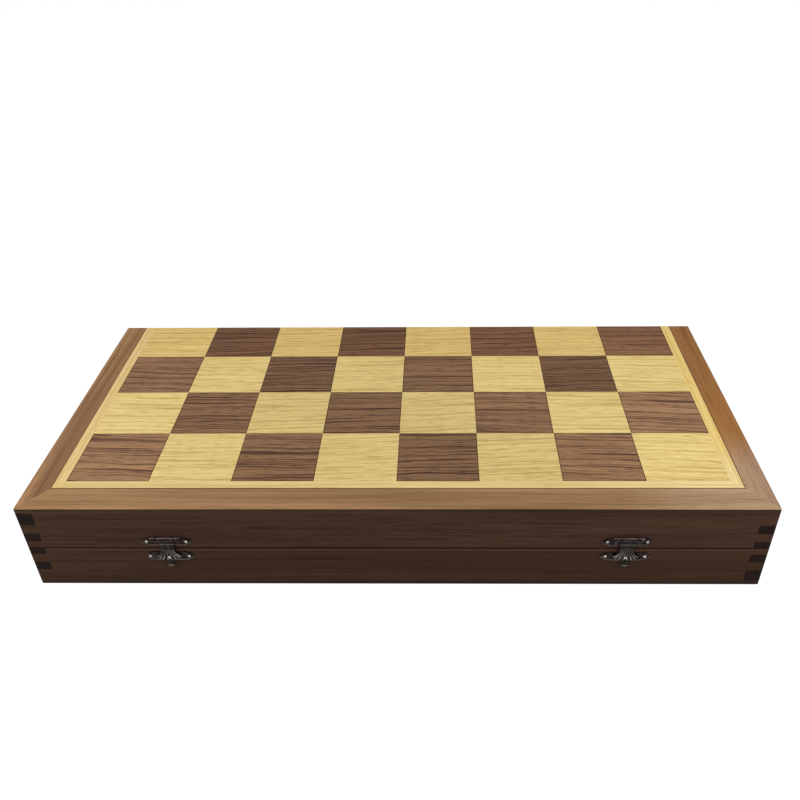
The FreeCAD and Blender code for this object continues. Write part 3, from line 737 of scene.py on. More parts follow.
class Workpiece:
    """A mesh in the making: turned and pressed shapes gathered into one piece."""

    def __init__(self) -> None:
        """Start with nothing on the bench."""
        self.mesh = bmesh.new()
        self.wear = self.mesh.verts.layers.float.new("wear")

    def turn(
        self,
        profile: Profile,
        place: Matrix,
        wear: float | list[float] = 0.0,
        top_highlight_depth: float = math.inf,
    ) -> None:
        """Turn a closed round shape on the lathe.

        Args:
            profile: Radius and height from one end of the axis to the other.
            place: Where the axis, its own Z, goes.
            wear: How far the shape is rubbed bright, from 0 to 1, all over or at each point.
            top_highlight_depth: How far down from the top it is bright, partly wear and partly a painted
                highlight.
        """
        wear_and_highlight = wear if isinstance(wear, list) else [wear] * len(profile)
        rings = []
        for (radius, height), bright in zip(profile, wear_and_highlight):
            ring = []
            for step in range(TURN_FACETS if radius else 1):
                angle = 2 * math.pi * step / TURN_FACETS
                point = Vector((radius * math.cos(angle), radius * math.sin(angle), height))
                vertex = self.mesh.verts.new(place @ point)
                vertex[self.wear] = bright
                ring.append(vertex)
            rings.append(ring)
        for lower, upper in zip(rings, rings[1:]):
            for step in range(TURN_FACETS):
                after = (step + 1) % TURN_FACETS
                corners = [lower[step % len(lower)], lower[after % len(lower)]]
                corners += [upper[after % len(upper)], upper[step % len(upper)]]
                self.mesh.faces.new(list(dict.fromkeys(corners)))
        points = [vertex for ring in rings for vertex in ring]
        top = max(point.co.z for point in points)
        for point in points:
            if point.co.z <= top - top_highlight_depth:
                point[self.wear] = 0.0

    def done(self, name: str, material: Material) -> Object:
        """Take the piece off the bench.

        Args:
            name: The piece's name.
            material: Its finish.

        Returns:
            The piece, in the scene.
        """
        bmesh.ops.recalc_face_normals(self.mesh, faces=self.mesh.faces[:])
        mesh = bpy.data.meshes.new(name)
        self.mesh.to_mesh(mesh)
        self.mesh.free()
        mesh.shade_smooth()
        mesh.set_sharp_from_angle(angle=math.radians(SMOOTH_DEG))
        mesh.materials.append(material)
        piece = bpy.data.objects.new(name, mesh)
        bpy.context.scene.collection.objects.link(piece)
        return piece


def cut(piece: Object, cutter: Object) -> None:
    """Cut one piece's shape out of another and throw the cutter away.

    Args:
        piece: The piece to cut.
        cutter: The shape to take out of it.
    """
    tool = piece.modifiers.new("cut", "BOOLEAN")
    tool.object = cutter
    tool.operation = "DIFFERENCE"
    tool.solver = "EXACT"
    bpy.context.view_layer.update()
    whole = piece.evaluated_get(bpy.context.evaluated_depsgraph_get())
    shaped = bpy.data.meshes.new_from_object(whole)
    piece.modifiers.clear()
    old = piece.data
    piece.data = shaped
    shaped.name = old.name
    bpy.data.meshes.remove(old)
    bpy.data.objects.remove(cutter)


def fit(piece: Object, body: str, slot: str, *nodes: str) -> None:
    """Put a piece on its body in place of the nodes it stands for.

    Args:
        piece: The finished piece.
        body: The body that it moves with.
        slot: The record's material slot; not used.
        nodes: The nodes that it stands for.
    """
    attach(piece, body)
    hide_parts(*nodes)
    log.info("piece %s on %s for %s", piece.name, body, ", ".join(nodes))


def arc_centre(start: Pair, finish: Pair, radius: float) -> Vector:
    """Find the centre of an arc that turns left from one point to another.

    Args:
        start: Where the arc starts.
        finish: Where it ends.
        radius: Its radius, negative where it turns right.

    Returns:
        The centre.
    """
    chord = Vector(finish) - Vector(start)
    height = math.sqrt(max(radius**2 - (chord.length / 2) ** 2, 0.0))
    left = Vector((-chord.y, chord.x)).normalized()
    return (Vector(start) + Vector(finish)) / 2 + left * math.copysign(height, radius)


def bend(start: Pair, finish: Pair, radius: float) -> Profile:
    """Follow an arc that turns left from one point to another.

    Args:
        start: Where the arc starts.
        finish: Where it ends.
        radius: Its radius, negative where it turns right.

    Returns:
        The arc's points without its last one.
    """
    centre = arc_centre(start, finish, radius)
    spoke = Vector(start) - centre
    first = math.atan2(spoke.y, spoke.x)
    chord = (Vector(finish) - Vector(start)).length
    swing = 2 * math.asin(chord / 2 / abs(radius)) * math.copysign(1, radius)
    turns = [first + swing * step / ARC_CHORDS for step in range(ARC_CHORDS)]
    reach = abs(radius)
    return [(centre.x + reach * math.cos(turn), centre.y + reach * math.sin(turn)) for turn in turns]


def mirrored(half: Profile) -> Profile:
    """Complete an outline from its right half, which starts and ends on the middle line."""
    return half + [(-x, y) for x, y in reversed(half) if x > 0]


def both_ends(profile: Profile) -> Profile:
    """Complete a turned shape from its first end."""
    return profile + [(radius, -height) for radius, height in reversed(profile)]


@dataclass
class Tray:
    """One half of the case: its walls, inlaid face and backgammon field."""

    half: Half
    columns: int = 8
    points: int = 6
    # How far up from the foot the lower frame's sides darken: a painted shadow.
    foot_shadow_mm: float = 5.0
    # The boards of the log: the walls have the first ones.
    frame_board: int = 10
    square_board: int = 20
    field_board: int = 30
    point_board: int = 31

    def build(self) -> None:
        """Dress the tray's pieces."""
        self.dress_walls()
        self.dress_face()
        self.dress_field()

    def named(self, *names: str) -> list[str]:
        """Give this half's node names."""
        return [f"{self.half.value}_{name}" for name in names]

    def seed(self, board: int) -> Triple:
        """Give a board's place in the log, in millimetres."""
        draw = random.Random(f"{self.half.value} {board}")
        return tuple(draw.uniform(0, reach) for reach in LOG_MM)

    def dress_walls(self) -> None:
        """Dress the four walls, the long ones with their grain along the case."""
        walnut = UPPER_WALNUT if self.half is Half.UPPER else LOWER_WALNUT
        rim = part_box("upper_front_wall")[0].z / MM
        fibres = {"front": Fibre.ALONG_X, "back": Fibre.ALONG_X}
        for board, part in enumerate(("front", "back", "left", "right")):
            wood = replace(
                walnut,
                name=f"{walnut.name}_{part}_wall",
                seed_mm=self.seed(board),
                fibre=fibres.get(part, Fibre.ALONG_Y),
                rim_mm=rim,
            )
            dress(self.named(f"{part}_wall"), wood.build())

    def dress_face(self) -> None:
        """Dress the chess face: frame, band and squares."""
        upper = self.half is Half.UPPER
        for number, (part, walnut) in enumerate(FRAMES.items()):
            seed = self.seed(number + self.frame_board)
            low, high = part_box(f"{self.half.value}_{part}_band")
            edge = abs(low.y) if part == "front" else max(abs(low.x), abs(high.x))
            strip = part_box(f"{self.half.value}_{part}_frame")
            wood = replace(
                walnut,
                seed_mm=seed,
                glue_from_mm=edge / MM,
                # The dark band along the arris: painted shade and grime under the top edge, a painted
                # shadow at the foot.
                arris_mm=strip[1 if upper else 0].z / MM,
                arris_shade_mm=walnut.arris_shade_mm if upper else self.foot_shadow_mm,
            )
            dress(self.named(f"{part}_frame"), wood.build())
            dress(self.named(f"{part}_band"), replace(BANDS[part], seed_mm=seed).build())
        low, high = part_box(f"{self.half.value}_dark_squares")
        square = (high.x - low.x) / self.columns / MM
        for finish, name in ((DARK_SQUARE, "dark_squares"), (LIGHT_SQUARE, "light_squares")):
            self.dress_leaves(finish, name, low, (square, square, square), self.square_board)
        dress(self.named("chess_panel", "floor_panel"), PANEL_PLYWOOD.build())

    def dress_field(self) -> None:
        """Dress the backgammon field and its points."""
        ash = replace(FIELD_ASH, seed_mm=self.seed(self.field_board))
        dress(self.named("backgammon_field"), ash.build())
        for finish, name in ((DARK_POINT, "dark_points"), (RED_POINT, "red_points")):
            low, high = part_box(f"{self.half.value}_{name}")
            pitch = (high.y - low.y) / self.points / MM
            leaf = ((high.x - low.x) / MM / 2, pitch, pitch)
            self.dress_leaves(finish, name, low, leaf, self.point_board)

    def dress_leaves(self, finish: Wood, name: str, low: Vector, leaf_mm: Triple, board: int) -> None:
        """Dress a piece whose veneer is laid leaf by leaf.

        Args:
            finish: The veneer.
            name: The piece's name in this half.
            low: The corner where the first leaf starts.
            leaf_mm: The size of a leaf.
            board: The board of the log that the veneer is sliced from.
        """
        start = (low.x / MM, low.y / MM, low.z / MM - leaf_mm[2] / 2)
        wood = replace(finish, leaf_mm=leaf_mm, leaf_from_mm=start, seed_mm=self.seed(board))
        dress(self.named(name), wood.build())


@dataclass
class Hinges:
    """The two butt hinges at the back, with their pins and slotted screws."""

    head_radius: float = 1.76 * MM
    head_height: float = 0.85 * MM
    crown: float = 0.1 * MM
    rim_radius: float = 1.7072 * MM
    rim_drop: float = 0.04 * MM
    flat_radius: float = 1.056 * MM
    shank: float = 7.5 * MM
    shank_radius: float = 0.8 * MM
    tip_radius: float = 0.64 * MM
    slot_length: float = 7.04 * MM
    slot_width: float = 0.5 * MM
    slot_depth: float = 0.35 * MM
    wear: float = 0.5

    def build(self) -> None:
        """Dress the leaves and pins, and make the screws."""
        brass = HINGE_BRASS.build()
        for side in Side:
            names = ("hinge_lower_leaf", "hinge_upper_leaf", "hinge_pin")
            dress([f"{side.value}_{name}" for name in names], brass)
        for half in Half:
            self.screws(half, brass)

    def screws(self, half: Half, brass: Material) -> None:
        """Make one tray's countersunk slotted screws, each slot at its own angle.

        Args:
            half: The tray.
            brass: Their finish.
        """
        draw = random.Random(half.value)
        node = f"{half.value}_hinge_screws"
        low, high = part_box(node)
        leaf_low, leaf_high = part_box(f"right_hinge_{half.value}_leaf")
        centre = (leaf_low.x + leaf_high.x) / 2
        reach = high.x - self.head_radius - centre
        facing, level = (1.0, high.z) if half is Half.LOWER else (-1.0, low.z)
        slot = Matrix.Diagonal((self.slot_length, self.slot_width, 2 * self.slot_depth, 1.0))
        piece, blade = Workpiece(), Workpiece()
        for across in (-centre - reach, -centre + reach, centre - reach, centre + reach):
            place = Matrix.Translation((across, (low.y + high.y) / 2, level))
            place = place @ Matrix.Diagonal((1.0, facing, facing, 1.0))
            piece.turn(self.profile(), place, self.wear)
            turned = place @ Matrix.Rotation(draw.uniform(0, math.pi), 4, "Z")
            bmesh.ops.create_cube(blade.mesh, size=1.0, matrix=turned @ slot)
        screws = piece.done(f"{half.value}_slotted_screws", brass)
        cut(screws, blade.done("blade", brass))
        fit(screws, f"{half.value}_tray", "hinge_brass", node)

    def profile(self) -> Profile:
        """Draw a countersunk screw.

        Returns:
            Radius and height, from its point up to its nearly flat head.
        """
        tip = -self.head_height - self.shank
        return [
            (0.0, tip),
            (self.tip_radius, tip + self.shank_radius),
            (self.shank_radius, -self.head_height),
            (self.head_radius, -self.crown),
            (self.rim_radius, -self.rim_drop),
            (self.flat_radius, 0.0),
            (0.0, 0.0),
        ]


@dataclass
class Latch:
    """One fluted toggle latch: its hinge plate, flap and catch, with the numbers of its pressing."""

    side: Side
    bronze: Material
    plate_thickness: float = 0.8 * MM
    edge_ease: float = 0.22 * MM
    edge_rubbed: float = 0.154 * MM
    edge_chords: int = 3
    edge_round: float = 0.5
    rim_width: float = 0.55 * MM
    rim_sink: float = 0.18 * MM
    plate_foot: float = 3.2 * MM
    plate_notch: float = 1.8 * MM
    ear_root: float = 8.4 * MM
    ear_rise: float = 6.2 * MM
    ear_tip: float = 3.2 * MM
    ear_bend: float = 8.5 * MM
    catch_height: float = 7.4 * MM
    barrel_radius: float = 1.5 * MM
    flap_barrel: float = 11.0 * MM
    plate_barrel: float = 4.4 * MM
    barrel_play: float = 0.15 * MM
    barrel_ease: float = 0.25 * MM
    barrel_soft: float = 0.075 * MM
    # How far down from the top the barrels and lip are bright: wear and a painted highlight.
    top_highlight_depth: float = 0.12 * MM
    neck_width: float = 8.6 * MM
    neck_height: float = 1.3 * MM
    fan_top: float = -5.4 * MM
    fan_foot: float = -7.5 * MM
    fan_foot_width: float = 14.0 * MM
    tail_top: float = -11.2 * MM
    tail_width: float = 4.6 * MM
    neck_bend: float = 7.0 * MM
    tail_bend: float = 6.64 * MM
    flap_back: float = 1.2 * MM
    flap_front: float = 2.05 * MM
    rib_height: float = 0.38 * MM
    lip_radius: float = 0.6 * MM
    lip_ease: float = 0.18 * MM
    lip_stand: float = 0.24 * MM
    rib_fade: float = 1.6 * MM
    rib_end: float = -9.2 * MM
    rib_count: float = 4.0
    rib_spread: float = 0.9
    bead_rise: float = 4.4 * MM
    bead_height: float = 0.7 * MM
    bead_stand: float = 0.25 * MM
    edge_share: float = 0.93
    edge_drop: float = 0.3 * MM
    row_step: float = 0.32 * MM
    fewest_rows: int = 2
    columns: int = 72
    knob_rise: float = -6.3 * MM
    knob_radius: float = 1.25 * MM
    knob_stand: float = 1.25 * MM
    knob_neck: float = 1.125 * MM
    knob_height: float = 0.9375 * MM
    knob_turns_deg: tuple[float, ...] = (-45.0, -22.5, 0.0, 22.5, 45.0, 67.5)
    stem_radius: float = 0.825 * MM
    dimple_radius: float = 0.6 * MM
    dimple_depth: float = 0.35 * MM
    hole_radius: float = 1.6 * MM
    drill_length: float = 4.0 * MM
    # How bright each part is rubbed, from 0 to 1. On the barrels and lip only the top is bright,
    # partly as a painted highlight.
    rim_wear: float = 0.36
    plate_barrel_wear: float = 0.4
    flap_barrel_wear: float = 0.5
    lip_wear: float = 0.6
    rib_wear: float = 0.62
    bead_wear: float = 0.4
    knob_wear: float = 1.0

    def __post_init__(self) -> None:
        """Take the latch's place from the frame."""
        places = {joint["name"]: joint["pos_m"] for joint in frame["joints"]}
        self.centre, self.axis_depth, axis_level = places[f"{self.side.value}_latch_hinge"]
        self.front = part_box("upper_front_wall")[0].y
        self.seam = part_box("upper_front_wall")[0].z
        self.axis_rise = axis_level - self.seam
        low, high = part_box(f"{self.side.value}_latch_plate")
        self.width = high.x - low.x
        low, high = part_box(f"{self.side.value}_latch_flap")
        self.flap_width = high.x - low.x
        self.flap_end = low.z - self.seam
        self.notch_half = self.flap_barrel / 2 + self.barrel_play
        self.corners = (
            (self.flap_barrel / 2, self.axis_rise),
            (self.neck_width / 2, self.neck_height),
            (self.flap_width / 2, self.fan_top),
            (self.fan_foot_width / 2, self.fan_foot),
            (self.tail_width / 2, self.tail_top),
        )
        self.bends = (0.0, self.neck_bend, 0.0, self.tail_bend)

    def build(self) -> None:
        """Make the plate, catch and flap, and dress the pin."""
        self.plate()
        self.catch()
        self.flap()
        dress([f"{self.side.value}_latch_pin"], self.bronze)

    def on_wall(self) -> Matrix:
        """Give the frame of the front face at the latch: X along it, Y up and Z out of it."""
        place = Matrix.Translation((self.centre, self.front, self.seam))
        return place @ Matrix.Rotation(math.pi / 2, 4, "X")

    def at_knob(self) -> Matrix:
        """Give the frame of the front face at the knob."""
        return self.on_wall() @ Matrix.Translation((0.0, self.knob_rise, 0.0))

    def ear(self, foot: float, sign: float) -> Profile:
        """Follow one swept ear.

        Args:
            foot: The height of its root above the seam.
            sign: 1 where it sweeps up and -1 where it sweeps down.

        Returns:
            The outline, from the root at the foot to the root at the top.
        """
        tip = (self.width / 2, foot + sign * self.ear_tip)
        top = (self.notch_half + self.plate_barrel, foot + sign * self.ear_rise)
        swept = bend((self.ear_root, foot), tip, sign * self.ear_bend)
        return swept + bend(tip, top, sign * self.ear_bend) + [top]

    def press(self, piece: Workpiece, outline: Profile) -> None:
        """Press a flat plate on the wall, with eased edges and a raised rim.

        Args:
            piece: The piece that takes it.
            outline: The plate's outline, anticlockwise, across the latch and up from the seam.
        """
        mesh = piece.mesh
        ring, front_ring = (
            [mesh.verts.new((x, y, depth)) for x, y in outline]
            for depth in (0.0, self.plate_thickness)
        )
        mesh.faces.new(list(reversed(ring)))
        front = mesh.faces.new(front_ring)
        for here, vertex in enumerate(ring):
            after = (here + 1) % len(ring)
            mesh.faces.new((vertex, ring[after], front_ring[after], front_ring[here]))
        made = set(ring + front_ring)
        for width, depth in ((self.rim_width + self.edge_ease, 0.0), (self.rim_sink, -self.rim_sink)):
            inset = bmesh.ops.inset_region(
                mesh, faces=[front], thickness=width, depth=depth, use_even_offset=True
            )
            made.update(vertex for face in (*inset["faces"], front) for vertex in face.verts)
        edges = [mesh.edges.get(pair) for pair in zip(front_ring, front_ring[1:] + front_ring[:1])]
        eased = bmesh.ops.bevel(
            mesh,
            geom=edges,
            offset=self.edge_ease,
            segments=self.edge_chords,
            profile=self.edge_round,
            affect="EDGES",
            clamp_overlap=True,
        )
        rounded = set(eased["verts"])
        made = {vertex for vertex in made if vertex.is_valid} | rounded
        for vertex in made:
            high = vertex in rounded and vertex.co.z > self.plate_thickness - self.edge_rubbed
            vertex[piece.wear] = self.rim_wear if high else 0.0
        bmesh.ops.transform(mesh, matrix=self.on_wall(), verts=list(made))

    def barrel(self, piece: Workpiece, middle: float, length: float, wear: float) -> None:
        """Turn a length of the hinge barrel with eased ends.

        Args:
            piece: The piece that takes it.
            middle: Where its middle is along the barrel, from the latch's middle.
            length: How long it is.
            wear: How bright its top is, partly rubbed and partly a painted highlight.
        """
        half, radius = length / 2, self.barrel_radius
        end = [(0.0, -half), (radius - self.barrel_ease, -half)]
        end += [(radius - self.barrel_soft, self.barrel_soft - half), (radius, self.barrel_ease - half)]
        place = Matrix.Translation((self.centre + middle, self.axis_depth, self.seam + self.axis_rise))
        lying = place @ Matrix.Rotation(math.pi / 2, 4, "Y")
        piece.turn(both_ends(end), lying, wear, self.top_highlight_depth)

    def plate(self) -> None:
        """Press the hinge plate on the upper tray and roll its two barrel ends."""
        piece = Workpiece()
        inner, top = self.notch_half, self.axis_rise
        notch = top - self.plate_notch
        half = [(0.0, self.plate_foot), *self.ear(self.plate_foot, 1.0)]
        half += [(inner + self.plate_barrel, top), (inner, top), (inner, notch), (0.0, notch)]
        self.press(piece, mirrored(half))
        for sign in (-1, 1):
            middle = sign * (inner + self.plate_barrel / 2)
            self.barrel(piece, middle, self.plate_barrel, self.plate_barrel_wear)
        pressed = piece.done(f"{self.side.value}_hinge_plate", self.bronze)
        fit(pressed, "upper_tray", "latch_bronze", f"{self.side.value}_latch_plate")

    def catch(self) -> None:
        """Press the catch on the lower tray and turn its knob."""
        piece = Workpiece()
        foot = -self.plate_foot
        half = [(0.0, foot), *self.ear(foot, -1.0), (0.0, foot - self.catch_height)]
        self.press(piece, list(reversed(mirrored(half))))
        top = self.flap_front + self.knob_stand
        profile = [(0.0, 0.0), (self.stem_radius, 0.0), (self.stem_radius, top - self.knob_neck)]
        for turn in map(math.radians, self.knob_turns_deg):
            rise = top - self.knob_height * (1 - math.sin(turn))
            profile.append((self.knob_radius * math.cos(turn), rise))
        dimple = [(radius, top - self.dimple_depth) for radius in (self.dimple_radius, 0.0)]
        wear = [self.knob_wear] * len(profile) + [0.0] * len(dimple)
        piece.turn(profile + dimple, self.at_knob(), wear)
        pressed = piece.done(f"{self.side.value}_catch", self.bronze)
        fit(pressed, "lower_tray", "latch_bronze", f"{self.side.value}_catch_plate")

    def half_width(self, rise: float) -> float:
        """Follow the flap's edge, straight or scooped from corner to corner.

        Args:
            rise: The height above the seam.

        Returns:
            The flap's half width there.
        """
        for upper, lower, radius in zip(self.corners, self.corners[1:], self.bends):
            if rise < lower[1]:
                continue
            if radius:
                centre = arc_centre(upper, lower, radius)
                return centre.x - math.sqrt(max(radius**2 - (rise - centre.y) ** 2, 0.0))
            share = (rise - lower[1]) / (upper[1] - lower[1])
            return lower[0] + share * (upper[0] - lower[0])
        return self.tail_width / 2

    def relief(self, across: float, rise: float) -> Pair:
        """Shape the flap's front: ribs that fan out from the neck below a plain block.

        Args:
            across: The distance from the flap's middle line.
            rise: The height above the seam.

        Returns:
            How far the front stands out beyond its plain face, and how bright it is rubbed.
        """
        below = max(self.fan_top - rise, 0.0)
        spread = self.half_width(max(rise, self.fan_top)) + below * self.rib_spread
        wave = -math.cos(2 * math.pi * abs(across) / spread * self.rib_count)
        start = min(max((self.neck_height - rise) / self.rib_fade, 0.0), 1.0)
        finish = min(max((rise - self.rib_end) / self.rib_fade, 0.0), 1.0)
        strength = start * finish
        edge = abs(across) / self.half_width(rise)
        drop = max(edge - self.edge_share, 0.0) / (1 - self.edge_share)
        out = self.rib_height * wave * strength - self.edge_drop * drop**2
        bead = 1.0 if self.bead_rise < rise < self.bead_rise + self.bead_height else 0.0
        wear = max(self.rib_wear * max(wave, 0.0) ** 2 * strength, self.bead_wear * bead)
        return out + bead * self.bead_stand, wear

    def rows(self) -> list[float]:
        """Space the rows of the flap's mesh, with one at each turn of its outline.

        Returns:
            Their heights above the seam, from the barrel down.
        """
        turns = [self.axis_rise, self.bead_rise + self.bead_height, self.bead_rise, self.neck_height]
        turns += [self.fan_top, self.fan_foot, self.tail_top, self.flap_end + self.lip_radius]
        rises = [turns[0]]
        for upper, lower in zip(turns, turns[1:]):
            count = max(self.fewest_rows, round((upper - lower) / self.row_step))
            rises += [upper + (lower - upper) * (step + 1) / count for step in range(count)]
        return rises

    def leaf(self) -> Object:
        """Press the flap's fluted leaf.

        Returns:
            The leaf, without its hole, barrel and lip.
        """
        piece = Workpiece()
        front, back = [], []
        for rise in self.rows():
            width = self.half_width(rise)
            places = [width * (2 * step / self.columns - 1) for step in range(self.columns + 1)]
            shapes = [self.relief(across, rise) for across in places]
            raised = [(self.flap_front + out, wear) for out, wear in shapes]
            plain = [(self.flap_back, 0.0)] * len(places)
            for sheet, row in ((front, raised), (back, plain)):
                sheet.append([])
                for across, (depth, wear) in zip(places, row):
                    vertex = piece.mesh.verts.new(self.on_wall() @ Vector((across, rise, depth)))
                    vertex[piece.wear] = wear
                    sheet[-1].append(vertex)
        rims = []
        for sheet in (front, back):
            for upper, lower in zip(sheet, sheet[1:]):
                for here in range(self.columns):
                    after = here + 1
                    piece.mesh.faces.new((upper[here], lower[here], lower[after], upper[after]))
            down, up = [row[0] for row in sheet], [row[-1] for row in reversed(sheet[:-1])]
            rims.append(down + sheet[-1][1:] + up + sheet[0][-2:0:-1])
        around, behind = rims
        for here, vertex in enumerate(around):
            after = (here + 1) % len(around)
            piece.mesh.faces.new((vertex, around[after], behind[after], behind[here]))
        return piece.done(f"{self.side.value}_fluted_flap", self.bronze)

    def pierce(self, leaf: Object) -> None:
        """Drill the hole that the knob comes through.

        Args:
            leaf: The flap's leaf.
        """
        drill = Workpiece()
        hole = [(0.0, 0.0), (self.hole_radius, 0.0)]
        hole += [(self.hole_radius, self.drill_length), (0.0, self.drill_length)]
        drill.turn(hole, self.at_knob())
        cut(leaf, drill.done("drill", self.bronze))

    def flap(self) -> None:
        """Press and pierce the flap's leaf, roll its barrel and curl its lip."""
        leaf = self.leaf()
        self.pierce(leaf)
        piece = Workpiece()
        piece.mesh.from_mesh(leaf.data)
        piece.wear = piece.mesh.verts.layers.float["wear"]
        self.barrel(piece, 0.0, self.flap_barrel, self.flap_barrel_wear)
        half, radius, ease = self.tail_width / 2, self.lip_radius, self.lip_ease
        lip = both_ends([(0.0, -half), (radius - ease, -half), (radius, ease - half)])
        place = Matrix.Translation((0.0, self.flap_end + radius, self.flap_front + self.lip_stand))
        lying = self.on_wall() @ place @ Matrix.Rotation(math.pi / 2, 4, "Y")
        piece.turn(lip, lying, self.lip_wear, self.top_highlight_depth)
        bpy.data.objects.remove(leaf)
        pressed = piece.done(f"{self.side.value}_fluted_flap", self.bronze)
        fit(pressed, f"{self.side.value}_flap", "latch_bronze", f"{self.side.value}_latch_flap")


@dataclass
class Tacks:
    """The domed tacks that hold the latches, four on each tray."""

    head_radius: float = 1.05 * MM
    head_height: float = 0.75 * MM
    head_rim: float = 0.15 * MM
    dome_steps: int = 6
    plate_thickness: float = 0.8 * MM
    lean: float = 0.1 * MM
    lean_seed: int = 7
    wear: float = 0.6

    def build(self) -> None:
        """Make the tacks of both trays, each a little out of line."""
        steel = NAIL_STEEL.build()
        draw = random.Random(self.lean_seed)
        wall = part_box("upper_front_wall")[0].y
        latches = [joint for joint in frame["joints"] if joint["name"].endswith("latch_hinge")]
        centres = [joint["pos_m"][0] for joint in latches]
        for half in Half:
            node = f"{half.value}_latch_nails"
            low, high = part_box(node)
            reach = high.x - (high.z - low.z) / 2 - max(centres)
            piece = Workpiece()
            for across in (centre + sign * reach for centre in centres for sign in (-1, 1)):
                rise = (low.z + high.z) / 2 + draw.uniform(-self.lean, self.lean)
                place = Matrix.Translation((across, wall, rise))
                piece.turn(self.profile(), place @ Matrix.Rotation(math.pi / 2, 4, "X"), self.wear)
            tacks = piece.done(f"{half.value}_domed_tacks", steel)
            fit(tacks, f"{half.value}_tray", "nail_steel", node)

    def profile(self) -> Profile:
        """Draw a tack's head: a low dome with a thin straight rim.

        Returns:
            Radius and height, from its underside up.
        """
        foot = self.plate_thickness
        points = [(0.0, foot), (self.head_radius, foot)]
        for step in range(self.dome_steps):
            angle = math.pi / 2 * step / self.dome_steps
            rise = self.head_rim + (self.head_height - self.head_rim) * math.sin(angle)
            points.append((self.head_radius * math.cos(angle), foot + rise))
        return points + [(0.0, foot + self.head_height)]


@dataclass(frozen=True)
class Lamp:
    """A square soft lamp that faces the case."""

    name: str
    place: Triple
    side: float
    power: float

    def hang(self) -> None:
        """Hang the lamp."""
        light = bpy.data.lights.new(self.name, "AREA")
        light.shape = "SQUARE"
        light.size = self.side
        light.energy = self.power
        lamp = bpy.data.objects.new(self.name, light)
        lamp.location = self.place
        lamp.rotation_euler = (-Vector(self.place)).to_track_quat("-Z", "Y").to_euler()
        bpy.context.scene.collection.objects.link(lamp)


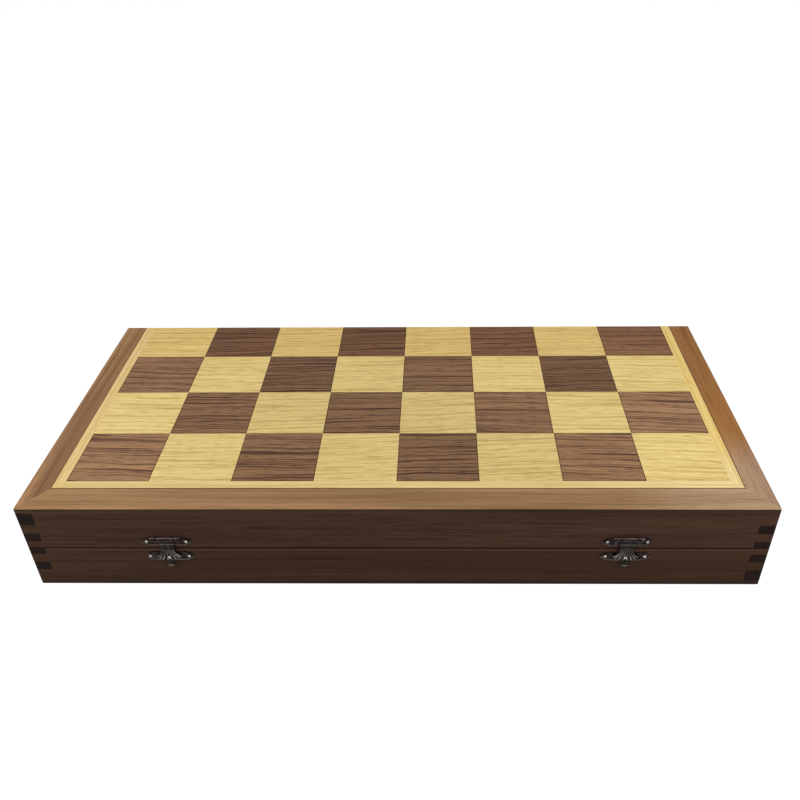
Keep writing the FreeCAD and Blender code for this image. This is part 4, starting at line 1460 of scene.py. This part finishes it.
@dataclass
class Studio:
    """A pale floor, soft lamps, an even sky and the camera."""

    camera_place: Triple = (0.027556, -0.512140, 0.399541)
    camera_yaw: float = -0.02017
    camera_pitch: float = 0.64005
    camera_roll: float = 0.01278
    focal_px: float = 825.84
    centre_px: Pair = (425.44, 455.64)
    picture_px: float = 800.0
    sensor_mm: float = 36.0
    nearest_seen: float = 10.0 * MM
    floor_side: float = 8.0
    floor_drop: float = 0.1 * MM
    floor_tone: float = 0.2
    floor_light: float = 0.47
    sky_strength: float = 0.45
    lamps: tuple[Lamp, ...] = (
        Lamp("left_lamp", (-0.62, -0.4, 0.58), 0.5, 3.0),
        Lamp("right_lamp", (0.62, -0.4, 0.58), 0.5, 3.0),
        Lamp("back_lamp", (0.0, 0.9, 1.3), 0.8, 3.0),
    )

    def build(self) -> None:
        """Set up the floor, sky, lamps and camera."""
        self.lay_floor()
        self.hang_sky()
        for lamp in self.lamps:
            lamp.hang()
        self.place_camera()

    def seen(self, nodes: Nodes) -> Node:
        """Tell the rays that show the background from those that light the object.

        Args:
            nodes: The node tree that asks.

        Returns:
            1 for a ray from the eye, direct, mirrored or through glass, and otherwise 0.
        """
        rays = nodes.add("LightPath").outputs
        direct = {0: rays["Is Camera Ray"], 1: rays["Is Glossy Ray"]}
        either = nodes.add("Math", direct, operation="MAXIMUM")
        return nodes.add("Math", {0: either, 1: rays["Is Transmission Ray"]}, operation="MAXIMUM")

    def lay_floor(self) -> None:
        """Lay the pale floor, which keeps the object's shadow."""
        material = bpy.data.materials.new("pale_paper_floor")
        nodes = Nodes(material)
        tone = (self.floor_tone, self.floor_tone, self.floor_tone, 1.0)
        paper = nodes.add("BsdfDiffuse", {"Color": tone})
        lift = 1 - self.floor_tone * self.floor_light
        share = nodes.add("Math", {0: self.seen(nodes), 1: lift}, operation="MULTIPLY")
        glow = nodes.add("Emission", {"Strength": share})
        nodes.add("OutputMaterial", {"Surface": nodes.add("AddShader", {0: paper, 1: glow})})
        reach = self.floor_side / 2
        corners = [(-reach, -reach), (reach, -reach), (reach, reach), (-reach, reach)]
        mesh = bpy.data.meshes.new("floor")
        mesh.from_pydata([(x, y, -self.floor_drop) for x, y in corners], [], [(0, 1, 2, 3)])
        mesh.materials.append(material)
        floor = bpy.data.objects.new("floor", mesh)
        bpy.context.scene.collection.objects.link(floor)

    def hang_sky(self) -> None:
        """Light the room evenly, with white where the eye meets it."""
        world = bpy.data.worlds.new("even_sky")
        nodes = Nodes(world)
        levels = {"Value": self.seen(nodes), "To Min": self.sky_strength, "To Max": 1.0}
        sky = {"Color": "#FFFFFF", "Strength": nodes.add("MapRange", levels)}
        nodes.add("OutputWorld", {"Surface": nodes.add("Background", sky)})
        bpy.context.scene.world = world

    def place_camera(self) -> None:
        """Stand the camera where the photograph was taken from."""
        level = math.cos(self.camera_pitch)
        ahead = Vector((math.sin(self.camera_yaw) * level, math.cos(self.camera_yaw) * level, 0.0))
        ahead.z = -math.sin(self.camera_pitch)
        across = Vector((math.cos(self.camera_yaw), -math.sin(self.camera_yaw), 0.0))
        down = ahead.cross(across)
        tilt_cos, tilt_sin = math.cos(self.camera_roll), math.sin(self.camera_roll)
        right = across * tilt_cos + down * tilt_sin
        up = across * tilt_sin - down * tilt_cos
        turn = Matrix((right, up, -ahead)).transposed().to_4x4()
        view = bpy.data.cameras.new("camera")
        view.sensor_fit = "HORIZONTAL"
        view.sensor_width = self.sensor_mm
        view.lens = self.focal_px / self.picture_px * self.sensor_mm
        view.shift_x = 0.5 - self.centre_px[0] / self.picture_px
        view.shift_y = self.centre_px[1] / self.picture_px - 0.5
        view.clip_start = self.nearest_seen
        camera = bpy.data.objects.new("camera", view)
        camera.matrix_world = Matrix.Translation(self.camera_place) @ turn
        bpy.context.scene.collection.objects.link(camera)
        bpy.context.scene.camera = camera
        bpy.context.scene.view_settings.view_transform = "Standard"


def main() -> None:
    """Build and dress the case piece by piece."""
    logging.basicConfig(level=logging.INFO, format="%(message)s")
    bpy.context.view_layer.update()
    for half in Half:
        Tray(half).build()
    Hinges().build()
    bronze = LATCH_BRONZE.build()
    for side in Side:
        Latch(side, bronze).build()
    Tacks().build()
    Studio().build()


if __name__ == "__main__":
    main()
